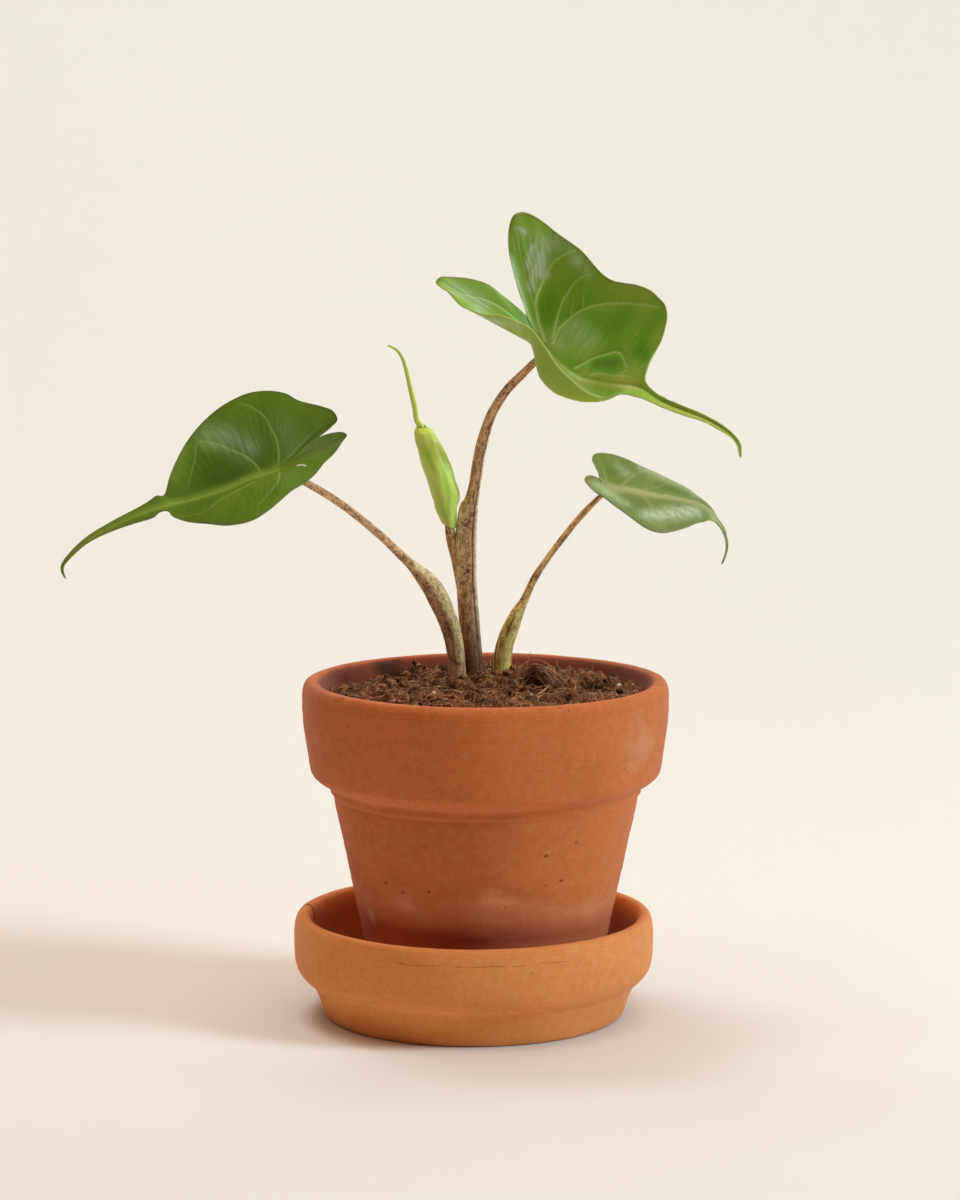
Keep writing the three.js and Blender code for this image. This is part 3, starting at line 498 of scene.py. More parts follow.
def crumbled(x, y):
    """Height of the top with its crumbs and hollows, in millimetres. The largest
    hollow, right of the stalks, looks like a nest."""
    spot = Vector((x, y, 0))
    lumps = noise.noise(spot * 0.16) * 3.8 + noise.noise(spot * 0.4 + Vector((0, 0, 3))) * 2.8
    lumps += noise.noise(spot * 1.1) * 1.2 + abs(noise.noise(spot * 2.3)) * 0.9
    nest = 6.5 * bell(x, y, 21.5, 9, 26, 60 if y > 9 else 160)
    nest += 4.5 * bell(x, y, 42, 7, 20, 40 if y > 7 else 90) + 4 * bell(x, y, -32, 22, 120, 120)
    tuft = 1.8 * bell(x, y, 42, 18, 60, 90)
    return soil_height(x, y) + lumps - nest + tuft


rim = inner_radius(SOIL_EDGE) - 0.3
profile = [(0, SOIL_FLOOR), (inner_radius(SOIL_FLOOR) - 3.4, SOIL_FLOOR)]
profile += [(inner_radius(z) - 0.3, z) for z in (17, 45, 75, 100, SOIL_EDGE)]
profile += [(rim * (1 - i / 90), SOIL_EDGE + 2) for i in range(91)]
bm = turned(profile, POT_X, SOIL_SIDES)
tint = bm.verts.layers.float.new("tint")
for v in bm.verts:
    if v.co.z > (SOIL_EDGE + 1) * MM:
        x, y = v.co.x / MM, v.co.y / MM
        v.co.z = crumbled(x, y) * MM
        # painted shade: the soil is darkened in its hollows, where shade falls
        v[tint] = -1.6 * bell(x, y, 21.5, 11, 22, 60)
        v[tint] -= 1.2 * (bell(x, y, 42, 9, 18, 36) + bell(x, y, -32, 20, 110, 110))

peat, tree = new_material("damp peat")
place = add(tree, "TexCoord").outputs["Object"]
# tint darkens the crumbs at random and carries the painted shade of the soil's hollows
tinted = add(tree, "Attribute", attribute_name="tint")
blotch = add(tree, "TexNoise", {"Vector": place, "Scale": 190.0, "Detail": 7.0, "Roughness": 0.72})
tone = add(tree, "Math", {0: tinted, 1: 0.22, 2: blotch}, operation="MULTIPLY_ADD")
shade = add(tree, "MapRange", {"Value": tone, "From Min": 0.42, "From Max": 0.62})
peat_colour = add(tree, "Mix", {0: shade, 6: "#402512", 7: "#a86e44"}, data_type="RGBA")
straw = add(tree, "MapRange", {"Value": tone, "From Min": 0.64, "From Max": 0.78})
peat_colour = add(tree, "Mix", {0: straw, 6: peat_colour, 7: "#c98d62"}, data_type="RGBA")
grain = add(tree, "TexNoise", {"Vector": place, "Scale": 900.0, "Detail": 4.0, "Roughness": 0.7})
surface(tree, peat_colour, 0.92, (grain, 0.9, 0.0008), {"Specular IOR Level": 0.2})
soil = finish_mesh(bm, "peat_soil", [peat])
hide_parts("soil")
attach(soil, "root")

# Crumbs of peat, loose on top.
bm = bmesh.new()
tint = bm.verts.layers.float.new("tint")


def clump(x, y, size, flat, tone, detail):
    """A crumb of peat: a knobbly lump."""
    centre = Vector((x, y, crumbled(x, y) + 0.15 * size)) * MM
    axis = Vector((random.random(), random.random(), 1)).normalized()
    lump = bmesh.ops.create_icosphere(
        bm, subdivisions=detail, radius=size * MM,
        matrix=Matrix.Translation(centre)
        @ Matrix.Rotation(random.uniform(0, 6.28), 4, axis)
        @ Matrix.Diagonal((1, random.uniform(0.6, 1), flat, 1)),
    )
    for v in lump["verts"]:
        v.co = centre + (v.co - centre) * (1 + 0.9 * noise.noise(v.co * 800) + 0.8 * noise.noise(v.co * 350))
        v[tint] = tone


def on_soil(inset):
    """A random place on the soil, at least inset millimetres from its edge."""
    x, y = 21.5, 9  # in the larger of the two hollows, which stay clear
    while (x - 21.5) ** 2 / 26 + (y - 7) ** 2 / 70 < 1 or (x - 42) ** 2 / 16 + (y - 6) ** 2 / 36 < 1:
        r = (rim - inset) * math.sqrt(random.random())
        turn = random.uniform(0, 2 * math.pi)
        x, y = POT_X + r * math.cos(turn), r * math.sin(turn)
    return x, y


for i in range(800):
    clump(*on_soil(1.2), random.choice((0.3, 0.4, 0.6, 0.9)), 0.8, random.uniform(-1, 1), 1)
for i in range(70):
    clump(*on_soil(4.2), random.uniform(1, 2.3), 0.6, random.uniform(-0.3, 0.5), 3)
crumbs = finish_mesh(bm, "peat_crumbs", [peat])
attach(crumbs, "root")

# Coir fibres: thin rusty hairs of coconut husk, tangled on the surface.
FIBRE_STEPS = 7
bm = bmesh.new()
tone_layer = bm.verts.layers.float.new("tint")


def fibre(points, thick, tone):
    """One hair along the given points in millimetres: a grid rolled round them."""
    made = bmesh.ops.create_grid(bm, x_segments=FIBRE_STEPS, y_segments=3, size=0.5)
    points = [Vector(p) * MM for p in points]
    for v in made["verts"]:
        i = round((v.co.x + 0.5) * FIBRE_STEPS)
        along = (points[min(i + 1, FIBRE_STEPS)] - points[max(i - 1, 0)]).normalized()
        side = along.cross(Vector((0.3, 0.2, 1))).normalized()
        a = 2 * math.pi * round((v.co.y + 0.5) * 3) / 3
        thin = thick * (0.3 + 0.7 * math.sin(math.pi * (0.1 + 0.8 * i / FIBRE_STEPS)))
        v.co = points[i] + (side * math.cos(a) + side.cross(along) * math.sin(a)) * thin * MM
        v[tone_layer] = tone


def lying_fibre(x, y, turn, length, lift):
    """Points of a hair that lies bent on the soil, in millimetres."""
    bend = random.gauss(0, 0.8)
    points = []
    for i in range(FIBRE_STEPS + 1):
        u = i / FIBRE_STEPS
        heading = turn + bend * (u - 0.5)
        px = x + length * (u - 0.5) * math.cos(heading)
        py = y + length * (u - 0.5) * math.sin(heading)
        reach = math.hypot(px - POT_X, py)
        if reach > rim - 1:
            px, py = POT_X + (px - POT_X) * (rim - 1) / reach, py * (rim - 1) / reach
        points.append((px, py, crumbled(px, py) + 0.12))
    # stiff hairs bridge the dips between crumbs
    low, high = points[0][2], points[-1][2]
    for i, (px, py, pz) in enumerate(points):
        u = i / FIBRE_STEPS
        points[i] = (px, py, max(pz, low + (high - low) * u + 4 * lift * u * (1 - u)))
    return points


for i in range(2300):
    x, y = on_soil(2)
    turn, length = random.uniform(0, math.pi), random.uniform(2.5, 13)
    line = lying_fibre(x, y, turn, length, random.uniform(0, 0.9))
    fibre(line, random.choice((0.07, 0.09, 0.12, 0.2)), random.random() ** 1.6)
# the arch of husk over the nest-like hollow
for i in range(60):
    left = (random.uniform(12, 17), random.uniform(12, 20))
    right = (random.uniform(27, 33), random.uniform(0, 14))
    line = []
    for n in range(FIBRE_STEPS + 1):
        u = n / FIBRE_STEPS
        x = left[0] + (right[0] - left[0]) * u
        y = left[1] + (right[1] - left[1]) * u + 7 * math.sin(math.pi * u)
        z = crumbled(*left) * (1 - u) + crumbled(*right) * u
        z += (3.2 + 2.6 * (i % 7) / 7) * math.sin(math.pi * u)
        line.append((x, y, z + random.uniform(-0.15, 0.15)))
    fibre(line, random.uniform(0.1, 0.26), random.uniform(0, 0.7))
# a few hairs stand up behind the stalks
for x, y, height, lean in (
    (19.6, 46, 6.5, 1.5), (31, 44, 5.5, -1), (43, 34, 6, 1), (24, 40, 4, -1.5), (38, 36, 4, 1.6),
    (-24, 40, 3.5, -1),
):
    base = crumbled(x, y)
    line = []
    for n in range(FIBRE_STEPS + 1):
        u = n / FIBRE_STEPS
        line.append((x + lean * u * u, y - u, base + height * u))
    fibre(line, 0.13, 0.8)
bmesh.ops.remove_doubles(bm, verts=bm.verts, dist=2e-6)
bmesh.ops.holes_fill(bm, edges=bm.edges, sides=4)
bmesh.ops.recalc_face_normals(bm, faces=bm.faces)
coir, tree = new_material("coir fibre")
tinted = add(tree, "Attribute", attribute_name="tint")
place = add(tree, "TexCoord").outputs["Object"]
streak = add(tree, "TexNoise", {"Vector": place, "Scale": 350.0, "Detail": 3.0})
fibre_colour = add(tree, "Mix", {0: tinted, 6: "#7c4122", 7: "#f2b47c"}, data_type="RGBA")
dim = add(tree, "MapRange", {"Value": streak, "From Min": 0.48, "From Max": 0.66, "To Max": 0.8})
fibre_colour = add(tree, "Mix", {0: dim, 6: fibre_colour, 7: "#5c3320"}, data_type="RGBA")
surface(tree, fibre_colour, 0.75)
fibres = finish_mesh(bm, "coir_fibres", [coir])
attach(fibres, "root")

# White grains: crumbs of expanded volcanic glass mixed into the soil.
GRAINS = [
    (-14.3, -20, 0.9), (-12.7, -4, 0.6), (19.8, -20, 0.8), (51.6, 2, 1.0), (5.4, 27, 0.6), (10.2, 30, 0.5),
    (22, -34, 0.5), (-30, -18, 0.4), (40, 22, 0.4),
]
bm = bmesh.new()
for x, y, size in GRAINS:
    centre = Vector((x, y, crumbled(x, y) + 0.5 * size)) * MM
    lump = bmesh.ops.create_icosphere(bm, subdivisions=3, radius=size * MM, matrix=Matrix.Translation(centre))
    for v in lump["verts"]:
        v.co = centre + (v.co - centre) * (0.9 + 0.8 * noise.noise(v.co * 800))
pumice, tree = new_material("expanded volcanic glass")
place = add(tree, "TexCoord").outputs["Object"]
bubble = add(tree, "TexVoronoi", {"Vector": place, "Scale": 2400.0})
white = add(tree, "Mix", {0: bubble, 6: "#d8c8ae", 7: "#f4e8d2"}, data_type="RGBA")
surface(tree, white, 0.8, (bubble, 0.5, 0.0003))
grains = finish_mesh(bm, "white_grains", [pumice])
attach(grains, "root")

# ---------------------------------------------------------------------------
# Stalks: fleshy leaf stalks, tan with dark dashes like snakeskin. Below, each
# one widens into a pale sheath that once held the next leaf.
STALK_SIDES = 56
STALK_LEFT = [
    (-6, 10.5, 101, 2.8, 2.6), (-6, 10.5, 121.5, 3.1, 2.7), (-6.7, 10.5, 130, 3.2, 2.7),
    (-8.6, 9.5, 138.5, 3.5, 2.7), (-10.6, 8, 144, 3.7, 2.6), (-14, 5.5, 151.5, 3.7, 2.5),
    (-16.7, 4, 155.5, 3.3, 2.3), (-19.2, 2.5, 158.5, 2.7, 2), (-22, 0.5, 161.5, 1.9, 1.7),
    (-26, -4, 166, 1.6, 1.6), (-32.5, -9, 173, 1.45, 1.45), (-45, -18, 184.5, 1.35, 1.35),
    (-57, -24, 193, 1.3, 1.3), (-67.2, -26.8, 198.1, 1.1, 1.1),
]
STALK_CENTRE = [
    (-0.3, 17.5, 101, 3.6, 3), (-0.5, 17.5, 121, 3.8, 3.1), (-1, 17.5, 129, 3.8, 3.1),
    (-1.5, 17, 137.5, 3.7, 3), (-2.2, 16, 146, 3.7, 2.9), (-2.7, 15, 155, 3.7, 2.8),
    (-3, 13.5, 168, 3.9, 2.7), (-2.5, 12.5, 175, 3.7, 2.6), (-1.8, 11.5, 180.5, 3.3, 2.5),
    (-0.8, 11, 183.5, 2.6, 2.3), (0.3, 10, 189, 2.2, 2.1), (1.8, 8, 199, 2.1, 2),
    (3.6, 4.5, 207, 2, 1.95), (6.6, -1, 216, 1.75, 1.75), (12, -8, 225, 1.6, 1.6),
    (16.5, -13, 230, 1.5, 1.5), (21.5, -18.5, 235.5, 1.3, 1.3), (25, -21.7, 239, 1.1, 1.1),
]
STALK_RIGHT = [
    (9.5, 25, 101, 2.8, 2.6), (10.2, 25, 120, 3.3, 2.7), (10.8, 25, 127.5, 3.3, 2.7),
    (12, 25, 132, 3.1, 2.6), (13.6, 25, 136, 2.9, 2.4), (15.5, 25.5, 140.5, 2.4, 2.1),
    (18, 26, 145, 1.6, 1.6), (22, 27, 153.5, 1.3, 1.35), (29, 29, 163.5, 1.15, 1.15),
    (38, 32, 174.5, 1.15, 1.15), (44.5, 33.9, 181, 1, 1), (48.2, 34.7, 184, 0.8, 0.8),
]
STALK_YOUNG = [
    (-4.2, 16.5, 120, 1.2, 1.2), (-4.2, 16.5, 146, 1.5, 1.5), (-5.3, 15.5, 155, 1.6, 1.6),
    (-6.6, 14.5, 162, 1.65, 1.65), (-7.9, 13.5, 167.5, 1.65, 1.65), (-8.5, 12.5, 172, 1.75, 1.75),
    (-8.6, 12, 176, 1.8, 1.8),
]


def across(ahead, behind):
    """The two directions across a line that runs from behind to ahead."""
    along = Vector(ahead - behind).normalized()
    wide = along.cross(Vector((0, 1, 0))).normalized()
    return wide, along.cross(wide).normalized()


def smooth_step(low, high, value):
    """0 below low, 1 above high, and a smooth rise between."""
    share = min(max((value - low) / (high - low), 0), 1)
    return share * share * (3 - 2 * share)


def stalk_mesh(stations, seams, sheaths_and_sheen, soiled, seed):
    """A stalk from its stations (x, y, z, half width, half depth). A seam is
    (turn, low z, high z, width, depth, darkness); a pale part is (turn, half
    angle, low z, high z) and marks cream sheaths and painted highlights along lit
    rims, and soiled darkens the base. Turns are in degrees, 0 for the left and 90 for the front."""
    stations = np.array(stations, float)
    steps = 18 * (len(stations) - 1)
    line = curve(stations, np.linspace(0, len(stations) - 1, steps + 1))
    length = walk_of(steps_of(line[:, :3]))
    bm = bmesh.new()
    straight = bm.verts.layers.float_vector.new("straight")
    seam_layer = bm.verts.layers.float.new("seam")
    sheath_and_sheen_layer = bm.verts.layers.float.new("pale")
    bmesh.ops.create_grid(bm, x_segments=steps, y_segments=STALK_SIDES, size=0.5)
    for v in bm.verts:
        i = round((v.co.x + 0.5) * steps)
        turn = 360 * (round((v.co.y + 0.5) * STALK_SIDES) % STALK_SIDES) / STALK_SIDES
        at = Vector(line[i, :3])
        wide, deep = across(line[min(i + 1, steps), :3], line[max(i - 1, 0), :3])
        a = math.radians(turn)
        half_wide, half_deep = line[i, 3], line[i, 4]
        swell = 1 + 0.05 * noise.noise(Vector((math.cos(a), math.sin(a), length[i] * 0.13 + seed)))
        seam = 0
        for where, low, high, width, depth, dark in seams:
            fade = smooth_step(low - 3, low, at.z) * (1 - smooth_step(high - 3, high, at.z))
            gap = (turn - where + 4 * noise.noise(Vector((seed, 0, at.z * 0.1))) + 180) % 360 - 180
            near = math.exp(-((gap / width) ** 2)) * fade
            swell -= near * depth / max(half_wide, 0.5)
            seam = max(seam, near * dark)
        pale = 0
        for where, half, low, high in sheaths_and_sheen:
            fade = smooth_step(low - 6, low + 6, at.z) * (1 - smooth_step(high - 2, high, at.z))
            gap = abs((turn - where + 180) % 360 - 180)
            pale = max(pale, fade * (1 - smooth_step(half * 0.6, half * 1.3, gap)))
        seam = max(seam, soiled * (1 - smooth_step(118, 155, at.z)))
        v[straight] = Vector((math.cos(a) * half_wide, math.sin(a) * half_deep, length[i] + seed * 40)) * MM
        v[seam_layer] = seam
        v[sheath_and_sheen_layer] = pale
        v.co = (at + wide * math.cos(a) * half_wide * swell + deep * math.sin(a) * half_deep * swell) * MM
    bmesh.ops.remove_doubles(bm, verts=bm.verts, dist=1e-7)
    bmesh.ops.holes_fill(bm, edges=bm.edges, sides=STALK_SIDES)
    bmesh.ops.recalc_face_normals(bm, faces=bm.faces)
    return bm


def stalk_skin(name, ground, dash, pale, seam, density):
    """Living stalk skin: waxy, so a soft sheen, mottled like snakeskin with
    brown loops and blots drawn out along the stalk, and cream sheaths, whose
    colour also paints highlights along lit rims. A loop is about 0.7 by 1.8 mm."""
    material, tree = new_material(name)
    straight = add(tree, "Attribute", attribute_name="straight").outputs["Vector"]
    drawn = add(tree, "Mapping", {"Vector": straight, "Scale": (1.0, 1.0, 0.4)})
    small = add(tree, "TexNoise", {"Vector": drawn, "Scale": 720.0, "Detail": 2.0})
    large = add(tree, "TexNoise", {"Vector": drawn, "Scale": 300.0, "Detail": 4.0, "Roughness": 0.65})
    # a loop runs where the small noise passes its middle value
    away = add(tree, "Math", {0: small, 1: 0.49}, operation="SUBTRACT")
    away = add(tree, "Math", {0: away}, operation="ABSOLUTE")
    loops = add(tree, "MapRange", {
        "Value": away, "From Min": 0.016, "From Max": 0.055, "To Min": 0.9, "To Max": 0.0,
    })
    blots = add(tree, "MapRange", {"Value": small, "From Min": 0.56, "From Max": 0.63})
    dark = add(tree, "Math", {0: loops, 1: blots}, operation="MAXIMUM")
    here = add(tree, "MapRange", {
        "Value": large, "From Min": density - 0.12, "From Max": density + 0.03, "To Min": 0.4,
    })
    dark = add(tree, "Math", {0: dark, 1: here}, operation="MULTIPLY")
    smear = add(tree, "MapRange", {
        "Value": large, "From Min": density + 0.08, "From Max": density + 0.2, "To Max": 0.8,
    })
    dark = add(tree, "Math", {0: dark, 1: smear}, operation="MAXIMUM")
    # the pale attribute holds cream sheaths and painted highlights along lit rims
    sheath_and_sheen = add(tree, "Attribute", attribute_name="pale")
    share = add(tree, "Math", {0: sheath_and_sheen, 1: -0.2, 2: 0.92}, operation="MULTIPLY_ADD")
    dark = add(tree, "Math", {0: dark, 1: share}, operation="MULTIPLY")
    shut = add(tree, "Attribute", attribute_name="seam")
    colour = ground
    for share, tint in ((sheath_and_sheen, pale), (dark, dash), (shut, seam)):
        colour = add(tree, "Mix", {0: share, 6: colour, 7: tint}, data_type="RGBA")
    surface(tree, colour, 0.5, (large, 0.4, 0.0004), {"Specular IOR Level": 0.4})
    return material


# the long narrow pale strip at 165 degrees down the centre stalk is a painted highlight along its lit right
# rim; the left stalk's cream sheath at 158 degrees, on its lit right side, is partly a painted highlight
stalk_pieces = [
    (
        "stalk_left", "petiole_left", "stalk", STALK_LEFT,
        [(72, 101, 150, 13, 0.3, 0.3)], [(158, 62, 128, 163)], 0.35, 1,
        stalk_skin("mottled stalk skin, left", "#f4c290", "#784429", "#fae0a0", "#7a4a30", 0.48),
    ),
    (
        "stalk_centre", "petiole_top", "stalk", STALK_CENTRE,
        [(131, 101, 238, 8, 0.35, 1.0), (110, 101, 205, 16, 0.0, 0.35)],
        [(30, 50, 150, 184), (165, 20, 101, 236)], 0.9, 2,
        stalk_skin("mottled stalk skin, centre", "#f0bc86", "#6e4228", "#f8dca6", "#5c2a1c", 0.46),
    ),
    (
        "stalk_right", "petiole_right", "stalk_pale", STALK_RIGHT,
        [(75, 134, 141, 10, 0.4, 0.9), (25, 118, 131, 10, 0.35, 0.9)], [(60, 90, 116, 144)], 0.0, 3,
        stalk_skin("mottled stalk skin, right", "#f6c684", "#744826", "#fce488", "#6a3420", 0.49),
    ),
    (
        "stalk_young", "leaf_new", "leaf_young", STALK_YOUNG, [], [], 0.0, 4,
        stalk_skin("mottled stalk skin, young", "#e8b474", "#744524", "#f0dca0", "#6a3c24", 0.46),
    ),
]
for name, node, slot, stations, seams, sheaths_and_sheen, soiled, seed, skin in stalk_pieces:
    stalk = finish_mesh(stalk_mesh(stations, seams, sheaths_and_sheen, soiled, seed), name, [skin])
    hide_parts(node)
    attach(stalk, "root")

# ---------------------------------------------------------------------------
# Leaves: thin arrow-shaped blades with two basal lobes and a long curled tail.
# Pale veins are sunk in the upper face and stand out below, and the blade
# domes a little between them.
ACROSS = 70
ROW = 0.62
BLADE_EDGE = 0.5
BLADE_RIB = 1.3
STINGRAY_LEFT = {
    "spine": [
        (-57.5, -23, 207), (-68, -27, 198.5), (-76, -29, 196), (-84.5, -31, 192.5),
        (-91.5, -32.5, 190.5), (-99, -34, 188.5), (-105, -35.5, 187.5), (-114, -37, 185),
        (-125, -38.5, 180), (-134, -39.5, 175), (-140, -40, 169), (-142, -40, 166), (-140.5, -40, 162),
    ],
    "far": [
        (-57.5, -23, 207, 0, 0), (-52.5, -19.8, 210.8, 0.4, 0), (-49.5, -18, 212.7, 0.8, 0),
        (-47.5, -16.5, 214.7, 1, 0.3), (-49, -15.5, 217.8, 1, 0.8), (-53, -15, 219.4, 1, 1),
        (-61, -15.5, 221.5, 1, 1.5), (-65.5, -16, 224, 1, 1.5), (-72, -16.5, 225, 1, 1.5),
        (-79, -17, 224, 1.3, 1.2), (-86.5, -18.5, 220.5, 1.8, 1.2), (-92.5, -20.5, 216, 2.3, 1),
        (-98, -24, 210, 3, 1), (-102, -27.5, 203.5, 3.9, 0.8), (-105, -31, 196.5, 4.9, 0.5),
        (-107, -34, 190, 6, 0), (-109, -35, 190.5, 6.3, 0), (-113, -36, 188, 7, 0),
        (-125, -38, 182, 8, 0), (-134, -39, 176.5, 9, 0), (-140.5, -40, 170, 10, 0),
        (-142.5, -40, 166, 11, 0), (-140.5, -40, 162, 12, 0),
    ],
    "near": [
        (-57.5, -23, 207, 0, 0), (-53.5, -23, 209.5, 0.4, 0), (-48.5, -22.5, 211, 0.8, 0),
        (-45, -22.5, 211, 1, 0), (-44, -22.5, 210, 1, 0), (-45.5, -23.5, 208, 1, 0.3),
        (-48, -26, 204.5, 1, 0.6), (-51.5, -30, 201.5, 1, 1), (-54.5, -35, 198, 1, 1),
        (-58, -40, 195.5, 1, 1), (-62, -44.5, 193.5, 1, 1), (-66, -50, 190.5, 1, 1),
        (-70, -54, 187.5, 1.3, 1), (-75.5, -57, 184.5, 1.8, 1), (-83, -57, 183, 2.5, 0.8),
        (-90.5, -53, 183, 3.4, 0.6), (-98, -47, 183, 4.6, 0.4), (-104, -41, 184.5, 5.7, 0),
        (-104.5, -39.5, 185.5, 6, 0), (-107.5, -38.5, 185.5, 6.3, 0), (-110, -40, 183.5, 6.6, 0),
        (-114, -40.5, 182, 7, 0), (-124.5, -41, 178.5, 8, 0), (-133.5, -41, 174, 9, 0),
        (-139, -41, 168.5, 10, 0), (-141, -40.5, 166, 11, 0), (-140.5, -40, 162, 12, 0),
    ],
    "tail": (6.5, 11), "tail_tone": 0, "slim": 0.55, "rib_width": 2.1, "sink": 0.14, "dome": 0.35,
    "veins": [
        ("far", 0.42, 0.8, [
            (6.7, 0.04), (6.88, 0.15), (7.28, 0.27), (7.65, 0.39), (8.03, 0.5), (8.28, 0.64),
            (8.58, 0.73), (8.85, 0.8), (9.18, 0.87), (9.4, 0.92),
        ]),
        ("far", 0.42, 0.8, [
            (9.68, 0.04), (9.83, 0.14), (10, 0.21), (10.25, 0.29), (10.58, 0.38), (10.88, 0.47),
            (11.1, 0.56), (11.38, 0.67), (11.65, 0.77), (11.9, 0.84), (12.12, 0.83), (12.38, 0.73),
            (12.75, 0.64), (13.18, 0.54), (13.6, 0.37),
        ]),
        ("far", 0.5, 0.4, [(4.62, 0.09), (4.23, 0.23), (4.08, 0.38), (3.98, 0.58), (3.95, 0.78)]),
        ("near", 0.45, 0.55, [
            (10.23, 0.2), (10.85, 0.49), (11.3, 0.55), (11.8, 0.63), (12.2, 0.7), (12.6, 0.77),
        ]),
        ("near", 0.4, 0.6, [
            (13.12, 0.16), (13.88, 0.19), (14.45, 0.28), (14.93, 0.43), (15.2, 0.63), (15.6, 0.72),
            (16.28, 0.85),
        ]),
        ("near", 0.5, 0.35, [(7.8, 0.14), (4.2, 0.29), (3.78, 0.56), (3.3, 0.85)]),
    ],
    "tone": [
        ("far", 7, -0.4, [(12.08, 0.64), (11.55, 0.37), (11.15, 0.16)]),
        ("far", 4.5, -0.45, [(12.65, 0.21), (11.78, 0.07)]),
        ("far", 3.5, 0.6, [(12.7, 0.99), (13.3, 0.9), (13.88, 0.85)]),
        ("far", 2.2, 0.35, [(11.95, 0.75), (11.33, 0.62)]),
        ("far", 5, -0.2, [(9.83, 0.4), (8.97, 0.12)]),
        ("far", 5, 0.3, [(4.12, 0.89), (4.32, 0.89)]),
        ("far", 4, 0.15, [(9.33, 0.97), (8.68, 0.91)]),
        ("near", 11, -0.25, [(10.12, 0.61), (12.55, 0.67), (14, 0.91)]),
        ("near", 4, -0.3, [(16.03, 0.38), (15.25, 0.37)]),
    ],
    # painted highlights: patches where a silvery sheen of reflected light is painted on
    "painted_sheen": [
        ("far", 4.5, 0.35, [(11.33, 0.79), (10.62, 0.56), (9.9, 0.37)]),
        ("far", 5, 0.1, [(6.62, 0.52), (5.58, 0.35)]),
        ("near", 6, 0.06, [(10.45, 0.62), (9.15, 0.56)]),
        ("near", 5, 0.14, [(2.53, 0.5), (3.3, 0.85)]),
    ],
    # painted highlight: a small white glint on the near half
    "painted_glint": [
        ("near", 0.3, 1, [(7.45, 0.49), (7.4, 0.58), (7.5, 0.68)]),
    ],
}
